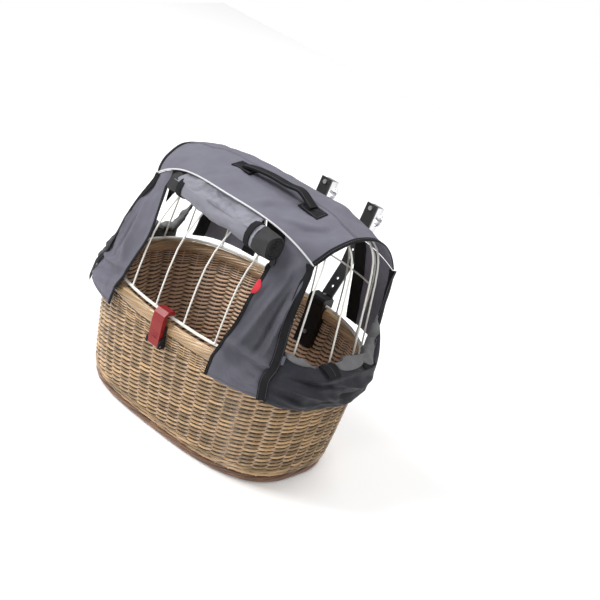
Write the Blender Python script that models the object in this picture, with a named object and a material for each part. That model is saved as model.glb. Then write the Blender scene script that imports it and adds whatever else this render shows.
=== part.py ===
"""Dog carrier basket for a bicycle handlebar: willow basket, hinged wire cage, cloth hood.

Metres, +Z up. The origin is the plan centre of the flat foot. The front faces -Y.
"""

import math

import bmesh
import bpy
from mathutils import Matrix, Vector

# Clearances and overruns
GAP = 0.0003
CUT_OVERRUN = 0.002

# Willow basket
RAIL_HEIGHT = 0.245
RAIL_HALF_X = 0.260
RAIL_HALF_Y = 0.1755
RIM_OUT_X = 0.006
RIM_OUT_Y = 0.0055
RIM_HALF_X = RAIL_HALF_X + RIM_OUT_X
RIM_HALF_Y = RAIL_HALF_Y + RIM_OUT_Y
RIM_EXPONENT = 2.5
FOOT_INSET_X = 0.027
FOOT_INSET_Y = 0.037
FOOT_HALF_X = RIM_HALF_X - FOOT_INSET_X
FOOT_HALF_Y = RIM_HALF_Y - FOOT_INSET_Y
FOOT_EXPONENT = 3.0
WALL = 0.010
WALL_INSET = 0.001
FACET = 0.0006
RIM_BORDER_W = 0.018
RIM_BORDER_H = 0.024
RIM_TO_RAIL = 0.0065
FOOT_BORDER_W = 0.014
FOOT_BORDER_H = 0.016
FLOOR_T = 0.010
# Height and bulge of the wall from the foot to the rim, as shares of the wall
WALL_SHARES = ((0.0, 0.0), (0.06, 0.16), (0.3, 0.42), (0.6, 0.68), (1.0, 1.0))

# Wire cage
RAIL_EXPONENT = 2.5
HINGE_INSET = 0.005
HINGE_Y = RAIL_HALF_Y - HINGE_INSET
RAIL_R = 0.003
BAR_R = 0.00175
HOOP_PITCH_SHARE = 0.2846
HOOP_PITCH = RAIL_HALF_X * HOOP_PITCH_SHARE
HOOP_COUNT = 6
HOOD_HEIGHT = 0.260
HOOD_OVER_CAGE = 0.020
CAGE_HEIGHT = HOOD_HEIGHT - HOOD_OVER_CAGE
ARCH_EXPONENT = 8.0
ARCH_LEAN_SHARE = 0.955
ARCH_LEAN_RISE_SHARE = 0.66
HOOP_SPREAD_SHARE = 0.70
HOOP_FRONT_SHARE = -0.35
HOOP_BACK_SHARE = 0.72
# One hoop from its front foot over the top to its back foot: depth, height
HOOP_SHARES = (
    (-1.0, 0.0), (-0.965, 0.205), (-0.905, 0.43), (-0.81, 0.595), (-0.665, 0.735),
    (-0.52, 0.85), (-0.34, 0.95), (-0.115, 0.998), (0.115, 1.0), (0.23, 0.985),
    (0.43, 0.92), (0.61, 0.81), (0.77, 0.675), (0.865, 0.525), (0.925, 0.345),
    (0.955, 0.165), (0.9715, 0.0),
)
# Each arch: depth of its feet, depth of its top, height of its top
ARCH_SHARES = ((-0.57, -0.285, 0.972), (-0.143, -0.115, 1.000), (0.256, 0.228, 0.986), (0.50, 0.43, 0.925))
ARCH_OVER = 0.0048
CROSS_WIRE_HEIGHT_SHARE = 0.454
CROSS_WIRE_SHARE = 0.731
CROSS_WIRE_HEIGHT = CAGE_HEIGHT * CROSS_WIRE_HEIGHT_SHARE
CROSS_WIRE_HALF = RAIL_HALF_X * CROSS_WIRE_SHARE

# Cloth hood
CLOTH = 0.0025
HOOD_EXPONENT = 2.8
HOOD_BACK_EXPONENT = 4.0
LEFT_TUCK_SHARE = 0.08
LEFT_DROP_SHARE = 0.07
# Outside of the hood over its height: height, half width, front depth, back depth
HOOD_SHARES = (
    (-0.200, 1.128, 1.128, 1.060), (-0.080, 1.108, 1.112, 1.050), (-0.035, 1.096, 1.106, 1.040),
    (0.030, 1.046, 1.052, 1.020), (0.190, 1.010, 1.000, 1.005), (0.404, 0.988, 0.950, 0.975),
    (0.558, 0.972, 0.862, 0.925), (0.685, 0.955, 0.722, 0.850), (0.770, 0.942, 0.610, 0.770),
    (0.830, 0.930, 0.520, 0.690),
)
# Roof from its front edge to its back edge: centre depth and height, then edge width, depth, height
ROOF_SHARES = (
    (-0.655, 0.915, 0.796, -0.462, 0.731), (-0.500, 0.950, 0.827, -0.410, 0.788),
    (-0.342, 0.973, 0.854, -0.313, 0.854), (-0.114, 0.996, 0.888, -0.100, 0.921),
    (0.114, 1.000, 0.896, 0.114, 0.919), (0.285, 0.977, 0.896, 0.285, 0.890),
    (0.456, 0.927, 0.892, 0.456, 0.831), (0.590, 0.865, 0.888, 0.570, 0.765),
    (0.700, 0.795, 0.886, 0.650, 0.700), (0.800, 0.710, 0.882, 0.720, 0.630),
)
ROOF_CROWN_SHARE = 3.0
ROOF_FRONT_SWEEP_SHARE = 1.9
ROOF_BACK_SWEEP_SHARE = 5.0
# Front corner panel over its height: height, edge towards the window, edge towards the side
FRONT_CORNER_SHARES = (
    (-0.180, 0.530, 0.862), (-0.075, 0.534, 0.846), (0.060, 0.542, 0.850), (0.190, 0.572, 0.842),
    (0.280, 0.588, 0.828), (0.430, 0.602, 0.816), (0.570, 0.630, 0.806), (0.700, 0.655, 0.792),
)
# Back corner panel over its height: height, edge towards the window, edge towards the side
BACK_CORNER_SHARES = (
    (0.012, 0.500, 0.650), (0.150, 0.480, 0.650), (0.330, 0.465, 0.648), (0.500, 0.462, 0.640),
    (0.620, 0.470, 0.600),
)
# Side flap from front to back: depth, height of its top edge, height of its hem
FLAP_SHARES = (
    (-0.690, 0.150, -0.190), (-0.600, 0.120, -0.215), (-0.350, 0.062, -0.240),
    (-0.120, 0.072, -0.255), (0.120, 0.088, -0.290), (0.320, 0.055, -0.310), (0.480, 0.045, -0.300),
    (0.560, 0.110, -0.285),
)
FLAP_INNER = 0.027
FLAP_BULGE = 0.008
FLAP_LIP = 0.005
FLAP_SEAT = -0.0002
FLAP_FOLD_HEIGHT = 0.002
FLAP_WAVE = 0.0012
FLAP_WAVES = 4.0
FLAP_SKEW = 0.030
# Flap section above and below its fold: run, place of the inner skin, place of the outer skin
FLAP_UPPER_SHARES = ((0.0, 0.0, 0.0), (0.35, 0.0, 0.55), (0.75, 0.0, 0.90), (1.0, 0.0, 1.0))
FLAP_LOWER_SHARES = ((0.06, 1.0, 1.0), (0.30, 1.0, 1.0), (0.65, 1.0, 0.93), (1.0, 1.0, 0.885))

# Rolled-up front window, its straps and the handle on the roof
ROLL_R = 0.019
ROLL_LEFT = -0.116
ROLL_RIGHT = 0.147
ROLL_STRAP_X = 0.086
ROLL_STRAP_W = 0.016
ROLL_STRAP_T = 0.0015
ROLL_DROP = 0.048
ROLL_GAP = 0.0005
HANDLE_LEFT = -0.040
HANDLE_RIGHT = 0.132
HANDLE_Y = -0.028
HANDLE_W = 0.022
HANDLE_T = 0.004
HANDLE_RISE = 0.016
TAB_L = 0.048
TAB_W = 0.030
TAB_T = 0.002
TAB_LIFT = 0.0008
PIPING_R = 0.0016
STRAP_T = 0.0016
STRAP_ROWS = 9
STRAP_INSET_SHARE = 0.80
PULL_L = 0.026
PULL_W = 0.011
PULL_T = 0.0025
PULL_ROW = 9
LABEL_L = 0.018
LABEL_W = 0.013
LABEL_T = 0.0012
LABEL_ROW = 7
FRONT_LAP = 0.0022
BACK_LAP = 0.0020
TRIM_SET_SHARE = 0.2
TRIM_OUTLINE_SHARES = ((0.0, 0.5), (0.0, -0.5), (0.8, -0.5), (1.0, -0.2), (1.0, 0.2), (0.8, 0.5))
HANDLE_EXPONENT = 0.7
FLAP_SKEW_EXPONENT = 3
BORDER_SOFT_SHARE = 0.25
LATCH_DROP_SHARE = 0.25
LEVER_ROUND_SHARE = 1.0 / 3.0
CROSS_WIRE_FROM_SHARE = 0.75
ROLL_AHEAD_SHARE = 0.01

# Front latch
LEVER_W = 0.027
LEVER_H = 0.068
LEVER_T = 0.008
LEVER_TIP_LAP = 0.0022
LEVER_LIFT = 0.005
LEVER_TIP_T = 0.008
LEVER_SWELL = 0.0015
PIN_R = 0.0015
PIN_CLEARANCE = 0.0003
EAR_T = 0.003
EAR_R = 0.0055
EAR_H = 0.018
HOUSING_GAP = 0.0005
LATCH_SCREW_R = 0.002
LATCH_SCREW_SHARE = 0.53
LATCH_SCREW_END = 0.001
LATCH_HEAD_R = 0.0035
LATCH_HEAD_H = 0.0014
LATCH_PLATE_T = 0.002
LATCH_PLATE_H = 0.020
SCREW_CLEARANCE = 0.0003

# Rear hinge blocks, hanger arms and handlebar clamps
BLOCK_X_SHARE = 0.2346
BLOCK_X = RAIL_HALF_X * BLOCK_X_SHARE
BLOCK_W = 0.040
BLOCK_H = 0.020
BLOCK_ROUND = 0.004
BORE_CLEARANCE = 0.0003
LIP_T = 0.007
LIP_L = 0.060
ARM_W = 0.026
ARM_T = 0.004
ARM_LEG = 0.064
WALL_BOLT_SHARE = 0.5
ARM_UPPER = 0.106
ARM_LEAN = math.radians(12.0)
ARM_HOLE_R = 0.003
ARM_HOLE_PITCH = 0.018
BAR_Y = 0.263
BAR_Z = 0.415
BAR_BORE_R = 0.01285
CLAMP_HALF_T = 0.017
CLAMP_HALF_L = 0.025
CLAMP_FLANGE_T = 0.006
CLAMP_W = 0.026
CLAMP_BOLT_U = 0.019
BOLT_END = 0.002
BOLT_R = 0.0024
BOLT_HOLE_R = 0.0027
BOLT_HEAD_R = 0.0045
BOLT_HEAD_H = 0.003
NUT_R = 0.0048
NUT_H = 0.004
NUT_BORE_R = 0.0031
SCREW_R = 0.0018
SCREW_HEAD_R = 0.0034
SCREW_HEAD_H = 0.0022

# Counts of points along round stretches
PLAN_POINTS = 48
TUBE_POINTS = 22
ROUND_POINTS = 12
ROLL_SIDES = 20
BORE_POINTS = ROUND_POINTS - 4
HEX_POINTS = 6

# Counts of steps along each shape, and of the rounds of a search
LEVER_STEPS = 6
PAD_STEPS = 8
ARM_HOLES = 3
ROOF_COLUMNS = 20
ROOF_ROWS = 12
CORNER_ROWS = 12
CORNER_COLUMNS = 8
STRAP_COLUMNS = 3
FLAP_STEPS = 20
TAB_STEPS = 4
HANDLE_STEPS = 14
SEARCH_STEPS = 50
ROLL_SEARCH_STEPS = 100
HALVINGS = 30
FIT_ROUNDS = 3

# Clearances made of the gap between neighbours
WIRE_GAP = GAP * 3.0
SCREW_END_GAP = GAP * 4.0


def clear_scene():
    """Remove whatever the open file holds."""
    for item in list(bpy.data.objects):
        bpy.data.objects.remove(item, do_unlink=True)


def finish(name, colour, roughness, metallic=0.0):
    """Return a Principled material of the given name."""
    made = bpy.data.materials.new(name)
    made.use_nodes = True
    shader = made.node_tree.nodes["Principled BSDF"]
    shader.inputs["Base Color"].default_value = (*colour, 1.0)
    shader.inputs["Roughness"].default_value = roughness
    shader.inputs["Metallic"].default_value = metallic
    return made


def axis_empty(name, place):
    """Return an empty that marks a joint's axis."""
    empty = bpy.data.objects.new(name, None)
    empty.location = place
    bpy.context.collection.objects.link(empty)
    return empty


def slouch(point):
    """Return a point of the lid moved in and down where it stands high on the left side."""
    height = max(point.z - RAIL_HEIGHT, 0.0) / HOOD_HEIGHT
    side = max(-point.x / RAIL_HALF_X, 0.0)
    x = point.x * (1.0 - LEFT_TUCK_SHARE * height * side)
    z = point.z - LEFT_DROP_SHARE * HOOD_HEIGHT * height * side * side
    return Vector((x, point.y, z))


def add_object(name, data, look, parent=None, soft=False):
    """Link a mesh or curve under its name, held by the empty on its joint's axis."""
    made = bpy.data.objects.new(name, data)
    if soft:
        for vertex in data.vertices:
            vertex.co = slouch(vertex.co)
    data.materials.append(look)
    bpy.context.collection.objects.link(made)
    if parent is not None:
        data.transform(Matrix.Translation(-parent.location))
        made.parent = parent
    return made


def mesh_from(name, bm, angle=math.radians(40.0)):
    """Close a bmesh into a mesh with its faces pointing out and its round faces smooth."""
    bmesh.ops.recalc_face_normals(bm, faces=bm.faces)
    mesh = bpy.data.meshes.new(name)
    bm.to_mesh(mesh)
    bm.free()
    mesh.shade_smooth()
    mesh.set_sharp_from_angle(angle=angle)
    return mesh


def add_loft(bm, loops, closed=False):
    """Add the skin through equal loops of points, capped at both ends unless it closes on itself."""
    rows = [[bm.verts.new(point) for point in loop] for loop in loops]
    count = len(rows[0])
    pairs = list(zip(rows, rows[1:]))
    if closed:
        pairs.append((rows[-1], rows[0]))
    for low, high in pairs:
        for i in range(count):
            j = (i + 1) % count
            bm.faces.new((low[i], low[j], high[j], high[i]))
    if not closed:
        bm.faces.new(rows[0])
        bm.faces.new(list(reversed(rows[-1])))


def loft(name, loops, closed=False):
    """Return a mesh lofted through equal loops of points."""
    bm = bmesh.new()
    add_loft(bm, loops, closed)
    return mesh_from(name, bm)


def slab(name, outer, inner):
    """Return a sheet with thickness from two equal grids of points."""
    bm = bmesh.new()
    skins = [[[bm.verts.new(point) for point in row] for row in grid] for grid in (outer, inner)]
    rows, columns = len(outer), len(outer[0])
    for skin in skins:
        for i in range(rows - 1):
            for j in range(columns - 1):
                bm.faces.new((skin[i][j], skin[i][j + 1], skin[i + 1][j + 1], skin[i + 1][j]))
    rim = [(0, j) for j in range(columns)] + [(i, columns - 1) for i in range(1, rows)]
    rim += [(rows - 1, j) for j in range(columns - 2, -1, -1)] + [(i, 0) for i in range(rows - 2, 0, -1)]
    top, under = skins
    for (i, j), (k, m) in zip(rim, rim[1:] + rim[:1]):
        bm.faces.new((top[i][j], top[k][m], under[k][m], under[i][j]))
    return mesh_from(name, bm)


def offset_grid(grid, depth, centre):
    """Return a copy of a grid of points moved by a depth along its normals, towards the centre."""
    rows, columns = len(grid), len(grid[0])
    moved = []
    for i in range(rows):
        line = []
        for j in range(columns):
            across = grid[i][min(j + 1, columns - 1)] - grid[i][max(j - 1, 0)]
            along = grid[min(i + 1, rows - 1)][j] - grid[max(i - 1, 0)][j]
            normal = across.cross(along).normalized()
            if normal.dot(centre - grid[i][j]) < 0.0:
                normal = -normal
            line.append(grid[i][j] + normal * depth)
        moved.append(line)
    return moved


def prism(name, outline, low_x, high_x):
    """Return an outline of (y, z) points drawn out along X."""
    return loft(name, [[Vector((x, y, z)) for y, z in outline] for x in (low_x, high_x)])


def add_cylinder(bm, start, end, radius, sides=ROUND_POINTS):
    """Add a capped cylinder, or a hexagon bar with six sides, between two points."""
    axis = (end - start).normalized()
    side = axis.orthogonal().normalized()
    other = axis.cross(side)
    loops = []
    for middle in (start, end):
        turns = [math.tau * k / sides for k in range(sides)]
        loops.append([middle + radius * (side * math.cos(a) + other * math.sin(a)) for a in turns])
    add_loft(bm, loops)


def add_bolt(bm, face, axis, radius, length, head_radius, head_height, sides=ROUND_POINTS):
    """Add one bolt: a head standing on a face and a shank that runs along the axis."""
    side = axis.orthogonal().normalized()
    other = axis.cross(side)
    steps = ((-head_height, head_radius), (0.0, head_radius), (0.0, radius), (length, radius))
    loops = []
    for depth, size in steps:
        middle = face + axis * depth
        turns = [math.tau * k / sides for k in range(sides)]
        loops.append([middle + size * (side * math.cos(a) + other * math.sin(a)) for a in turns])
    add_loft(bm, loops)


def add_ring(bm, start, end, outer, inner, sides):
    """Add a ring, or a nut with six sides, between two points."""
    axis = (end - start).normalized()
    side = axis.orthogonal().normalized()
    other = axis.cross(side)
    loops = []
    for k in range(sides):
        turn = math.tau * k / sides
        way = side * math.cos(turn) + other * math.sin(turn)
        loops.append([start + way * outer, end + way * outer, end + way * inner, start + way * inner])
    add_loft(bm, loops, closed=True)


def fastener(name, seat, axis, radius, length, head_radius, head_height, looks):
    """Add one steel bolt or screw as an object of its own."""
    bm = bmesh.new()
    add_bolt(bm, seat, axis, radius, length, head_radius, head_height)
    return add_object(name, mesh_from(name, bm), looks["steel"])


def cut_with(piece, mesh, label):
    """Cut a piece with a mesh that stays in the file as a hidden cutter."""
    cutter = bpy.data.objects.new(piece.name + "_" + label, mesh)
    cutter.hide_render = True
    cutter.display_type = "WIRE"
    bpy.context.collection.objects.link(cutter)
    if piece.parent is not None:
        mesh.transform(Matrix.Translation(-piece.parent.location))
        cutter.parent = piece.parent
    modifier = piece.modifiers.new(label, "BOOLEAN")
    modifier.operation = "DIFFERENCE"
    modifier.solver = "EXACT"
    modifier.object = cutter


def bored(piece, bores, label="bores"):
    """Cut round holes, each a start, an end and a radius, out of a piece."""
    bm = bmesh.new()
    for start, end, radius in bores:
        add_cylinder(bm, start, end, radius)
    cut_with(piece, mesh_from(piece.name + "_" + label, bm), label)


def table_value(table, key, column):
    """Return a column of a table of shares, smoothly between its rows."""
    rows = [row for row in table]
    if key <= rows[0][0]:
        return rows[0][column]
    if key >= rows[-1][0]:
        return rows[-1][column]
    i = max(k for k in range(len(rows) - 1) if rows[k][0] <= key)
    before, low = rows[max(i - 1, 0)], rows[i]
    high, after = rows[i + 1], rows[min(i + 2, len(rows) - 1)]
    step = high[0] - low[0]
    t = (key - low[0]) / step
    slope_low = (high[column] - before[column]) / (high[0] - before[0]) * step
    slope_high = (after[column] - low[column]) / (after[0] - low[0]) * step
    return ((2.0 * t ** 3 - 3.0 * t ** 2 + 1.0) * low[column] + (t ** 3 - 2.0 * t ** 2 + t) * slope_low
            + (3.0 * t ** 2 - 2.0 * t ** 3) * high[column] + (t ** 3 - t ** 2) * slope_high)


def wire(name, points, radius, look, parent, closed=False, sides_step=1):
    """Return a round wire through the points as a curve with a bevel and filled caps."""
    curve = bpy.data.curves.new(name, "CURVE")
    curve.dimensions = "3D"
    curve.bevel_depth = radius
    curve.bevel_resolution = sides_step
    curve.use_fill_caps = True
    spline = curve.splines.new("POLY")
    spline.points.add(len(points) - 1)
    for target, point in zip(spline.points, points):
        target.co = (*slouch(point), 1.0)
    spline.use_cyclic_u = closed
    spline.use_smooth = True
    return add_object(name, curve, look, parent)


def plan_point(half_x, half_y, exponent, turn):
    """Return x and y of a rounded oval at a turn from +X."""
    c, s = math.cos(turn), math.sin(turn)
    x = half_x * math.copysign(abs(c) ** (2.0 / exponent), c)
    y = half_y * math.copysign(abs(s) ** (2.0 / exponent), s)
    return x, y


def oval_depth(x, half_x, half_y, exponent):
    """Return how deep a rounded oval is at a given x."""
    return half_y * max(1.0 - abs(x / half_x) ** exponent, 0.0) ** (1.0 / exponent)


def plan_turns():
    """Return the turns at which the basket's plan is sampled."""
    return [math.tau * (k + 0.5) / PLAN_POINTS for k in range(PLAN_POINTS)]


def rim_border_top():
    return RAIL_HEIGHT - RIM_TO_RAIL


def wall_bottom():
    return FOOT_BORDER_H + GAP


def wall_top():
    return rim_border_top() - RIM_BORDER_H - GAP


def wall_halves(height):
    """Return half width, half depth and exponent of the wall's outside at a height."""
    share = table_value(WALL_SHARES, (height - wall_bottom()) / (wall_top() - wall_bottom()), 1)
    foot, rim = FOOT_BORDER_W / 2.0, RIM_BORDER_W / 2.0 - WALL_INSET
    half_x = FOOT_HALF_X + foot + (RIM_HALF_X + rim - FOOT_HALF_X - foot) * share
    half_y = FOOT_HALF_Y + foot + (RIM_HALF_Y + rim - FOOT_HALF_Y - foot) * share
    return half_x, half_y, FOOT_EXPONENT + (RIM_EXPONENT - FOOT_EXPONENT) * share


def band(name, half_x, half_y, exponent, width, low, high, look, parent=None):
    """Return a willow border with rounded corners that runs round the basket."""
    soft = min(width, high - low) * BORDER_SOFT_SHARE
    side = width / 2.0
    profile = (
        (-side, low + soft), (-side + soft, low), (side - soft, low), (side, low + soft),
        (side, high - soft), (side - soft, high), (-side + soft, high), (-side, high - soft),
    )
    loops = []
    for turn in plan_turns():
        loop = []
        for out, height in profile:
            x, y = plan_point(half_x + out, half_y + out, exponent, turn)
            loop.append(Vector((x, y, height)))
        loops.append(loop)
    return add_object(name, loft(name, loops, closed=True), look, parent)


def build_basket(looks):
    """Build the willow basket: floor, foot border, wall and rim border."""
    side = FOOT_BORDER_W / 2.0 + GAP
    loops = []
    for height in (0.0, FLOOR_T):
        points = [plan_point(FOOT_HALF_X - side, FOOT_HALF_Y - side, FOOT_EXPONENT, t) for t in plan_turns()]
        loops.append([Vector((x, y, height)) for x, y in points])
    add_object("basket_floor", loft("basket_floor", loops), looks["willow"])
    band("foot_border", FOOT_HALF_X, FOOT_HALF_Y, FOOT_EXPONENT, FOOT_BORDER_W, 0.0, FOOT_BORDER_H,
         looks["willow_dark"])
    heights = [wall_bottom() + (wall_top() - wall_bottom()) * share for share, _ in WALL_SHARES]
    outside, inside = [], []
    for height in heights:
        half_x, half_y, exponent = wall_halves(height)
        outer = [plan_point(half_x, half_y, exponent, turn) for turn in plan_turns()]
        inner = [plan_point(half_x - WALL, half_y - WALL, exponent, turn) for turn in plan_turns()]
        outside.append([Vector((x, y, height)) for x, y in outer])
        inside.append([Vector((x, y, height)) for x, y in inner])
    wall = add_object("basket_wall", loft("basket_wall", outside + inside[::-1], closed=True), looks["willow"])
    bored(wall, wall_bores())
    band("rim_border", RIM_HALF_X, RIM_HALF_Y, RIM_EXPONENT, RIM_BORDER_W, wall_top() + GAP, rim_border_top(),
         looks["willow"])


def back_wall_y(x, height, inside=False):
    """Return the depth of the wall's back face at an x and a height."""
    half_x, half_y, exponent = wall_halves(height)
    cut = WALL if inside else 0.0
    return oval_depth(x, half_x - cut, half_y - cut, exponent)


def border_outside():
    return RIM_HALF_Y + RIM_BORDER_W / 2.0


def leg_lean():
    """Return the slope of the back wall next to the arms' legs."""
    run = back_wall_y(0.0, wall_top()) - back_wall_y(0.0, wall_top() - ARM_LEG)
    return math.atan2(run, ARM_LEG)


def leg_axes():
    """Return the directions down along a leg and out of the wall."""
    lean = leg_lean()
    return Vector((0.0, -math.sin(lean), -math.cos(lean))), Vector((0.0, math.cos(lean), -math.sin(lean)))


def lip_back_y():
    """Return the back of the hinge block's lip, which clears the border over the block's width."""
    corner = BLOCK_X + BLOCK_W / 2.0
    inner = RIM_BORDER_W / 2.0
    return oval_depth(corner, RIM_HALF_X - inner, RIM_HALF_Y - inner, RIM_EXPONENT) - FACET - GAP


def wall_bolts():
    """Return the head seat, the length and the side of each wall bolt."""
    down, out = leg_axes()
    seat = Vector((0.0, lip_back_y() - LIP_T, wall_top()))
    length = (border_outside() + GAP - seat.y) * out.y + ARM_T + NUT_H
    place = seat + down * ARM_LEG * WALL_BOLT_SHARE - out * GAP
    return [(place + Vector((side * BLOCK_X, 0.0, 0.0)), length, side) for side in (-1.0, 1.0)]


def latch_face_y():
    """Return the front face of the latch housing's plate."""
    return -(border_outside() + GAP + EAR_T)


def lever_pin():
    """Return the place of the lever's pin."""
    top = RAIL_HEIGHT + RAIL_R + LEVER_LIFT + LEVER_TIP_T
    return Vector((0.0, latch_face_y() - HOUSING_GAP - LEVER_T / 2.0, top - LEVER_H))


def latch_screw():
    """Return the seat of the latch screw on the housing's face."""
    return Vector((0.0, latch_face_y() + LATCH_HEAD_H, lever_pin().z + EAR_H * LATCH_SCREW_SHARE))


def latch_screw_length():
    return -latch_face_y() - back_wall_y(0.0, latch_screw().z, True) + LATCH_PLATE_T + FACET + LATCH_SCREW_END


def wall_bores():
    """Return the bores through the wall for its bolts and the latch screws."""
    out = leg_axes()[1]
    bores = [(place - out * CUT_OVERRUN, place + out * (length + CUT_OVERRUN), BOLT_HOLE_R)
             for place, length, _ in wall_bolts()]
    reach = Vector((0.0, latch_screw_length() + CUT_OVERRUN, 0.0))
    bores.append((latch_screw(), latch_screw() + reach, LATCH_SCREW_R + SCREW_CLEARANCE))
    return bores


def build_latch(looks, lever_axis):
    """Build the front latch: housing, lever, pin, backing plate and screws."""
    pin = lever_pin()
    half = LEVER_W / 2.0
    face = latch_face_y()
    low = pin.z - EAR_R
    high = rim_border_top() - RIM_BORDER_H * LATCH_DROP_SHARE
    back_low = -wall_halves(low)[1] - GAP
    back_high = -wall_halves(wall_top())[1] - FACET
    border = -border_outside() - GAP
    ear = pin.y - EAR_R
    outline = [(pin.y, low), (back_low, low), (back_high, wall_top()), (border, wall_top() + GAP),
               (border, high), (face, high), (face, pin.z + EAR_H), (pin.y, pin.z + EAR_H - EAR_T),
               (ear, pin.z + EAR_R), (ear, pin.z - EAR_R / 2.0)]
    side = half + HOUSING_GAP + EAR_T
    housing = add_object("latch_housing", prism("latch_housing", outline, -side, side), looks["black_plastic"])
    slot = [(face, low - CUT_OVERRUN), (face, high + CUT_OVERRUN),
            (ear - CUT_OVERRUN, high + CUT_OVERRUN), (ear - CUT_OVERRUN, low - CUT_OVERRUN)]
    cut_with(housing, prism("latch_slot", slot, -half - HOUSING_GAP, half + HOUSING_GAP), "slot")
    across = Vector((side + CUT_OVERRUN, 0.0, 0.0))
    seat = latch_screw()
    length = Vector((0.0, latch_screw_length() + CUT_OVERRUN, 0.0))
    pin_bore = (pin - across, pin + across, PIN_R + PIN_CLEARANCE)
    screw_bore = (seat - length, seat + length, LATCH_SCREW_R + SCREW_CLEARANCE)
    head = Vector((0.0, LATCH_HEAD_H + CUT_OVERRUN, 0.0))
    bored(housing, [pin_bore, screw_bore])
    bored(housing, [(seat - head, seat + Vector((0.0, GAP, 0.0)), LATCH_HEAD_R + SCREW_CLEARANCE)], "sink")

    front = pin.y - LEVER_T / 2.0
    rear = pin.y + LEVER_T / 2.0
    top = RAIL_HEIGHT + RAIL_R + LEVER_LIFT + LEVER_TIP_T
    tip_y = -RAIL_HALF_Y - RAIL_R + LEVER_TIP_LAP
    under = top - LEVER_TIP_T
    turns = [math.pi + math.pi * k / LEVER_STEPS for k in range(LEVER_STEPS + 1)]
    outline = [(pin.y + LEVER_T / 2.0 * math.cos(a), pin.z + LEVER_T / 2.0 * math.sin(a)) for a in turns]
    outline += [(rear, under), (tip_y, under), (tip_y, top - LEVER_TIP_T * LEVER_ROUND_SHARE)]
    outline += [(tip_y - LEVER_T * LEVER_ROUND_SHARE, top)]
    outline += [(rear, top), (front, top - LEVER_TIP_T)]
    outline += [(front - LEVER_SWELL, top - LEVER_H * LEVER_ROUND_SHARE)]
    lever_mesh = prism("latch_lever", outline, -half, half)
    lever = add_object("latch_lever", lever_mesh, looks["red_plastic"], lever_axis)
    bored(lever, [pin_bore])

    bm = bmesh.new()
    reach = Vector((side, 0.0, 0.0))
    add_cylinder(bm, pin - reach, pin + reach, PIN_R)
    add_object("latch_pin", mesh_from("latch_pin", bm), looks["steel"])
    fastener("latch_screw", seat, Vector((0.0, 1.0, 0.0)), LATCH_SCREW_R, latch_screw_length(), LATCH_HEAD_R,
             LATCH_HEAD_H, looks)
    face_in = -back_wall_y(0.0, seat.z - LATCH_PLATE_H / 2.0, True) + FACET + GAP
    plate = [(face_in, seat.z - LATCH_PLATE_H / 2.0), (face_in, seat.z + LATCH_PLATE_H / 2.0),
             (face_in + LATCH_PLATE_T, seat.z + LATCH_PLATE_H / 2.0),
             (face_in + LATCH_PLATE_T, seat.z - LATCH_PLATE_H / 2.0)]
    plate_mesh = prism("latch_backing_plate", plate, -half, half)
    backing = add_object("latch_backing_plate", plate_mesh, looks["steel"])
    bored(backing, [screw_bore])


def strip_outline(points, thickness):
    """Return the outline of a bent flat bar from the middle line of its side view."""
    left, right = [], []
    for i, point in enumerate(points):
        into = (point - points[i - 1]).normalized() if i else None
        outof = (points[i + 1] - point).normalized() if i < len(points) - 1 else None
        into, outof = into or outof, outof or into
        along = (into + outof).normalized()
        normal = Vector((0.0, -along.z, along.y))
        reach = thickness / 2.0 / max(along.dot(into), 0.5)
        left.append(((point + normal * reach).y, (point + normal * reach).z))
        right.append(((point - normal * reach).y, (point - normal * reach).z))
    return left + right[::-1]


def clamp_axes():
    """Return the directions along the arm's upper end and out of its back face."""
    return (Vector((0.0, math.sin(ARM_LEAN), math.cos(ARM_LEAN))),
            Vector((0.0, math.cos(ARM_LEAN), -math.sin(ARM_LEAN))))


def arc(centre, radius, start, end, steps):
    """Return (y, z) points along an arc about a centre, angles counted from +Y."""
    turns = [start + (end - start) * k / steps for k in range(steps + 1)]
    return [(centre.y + radius * math.cos(a), centre.z + radius * math.sin(a)) for a in turns]


def local_outline(centre, along, out, points):
    """Return (y, z) points from distances along and out of a place."""
    placed = [centre + along * a + out * b for a, b in points]
    return [(point.y, point.z) for point in placed]


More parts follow.
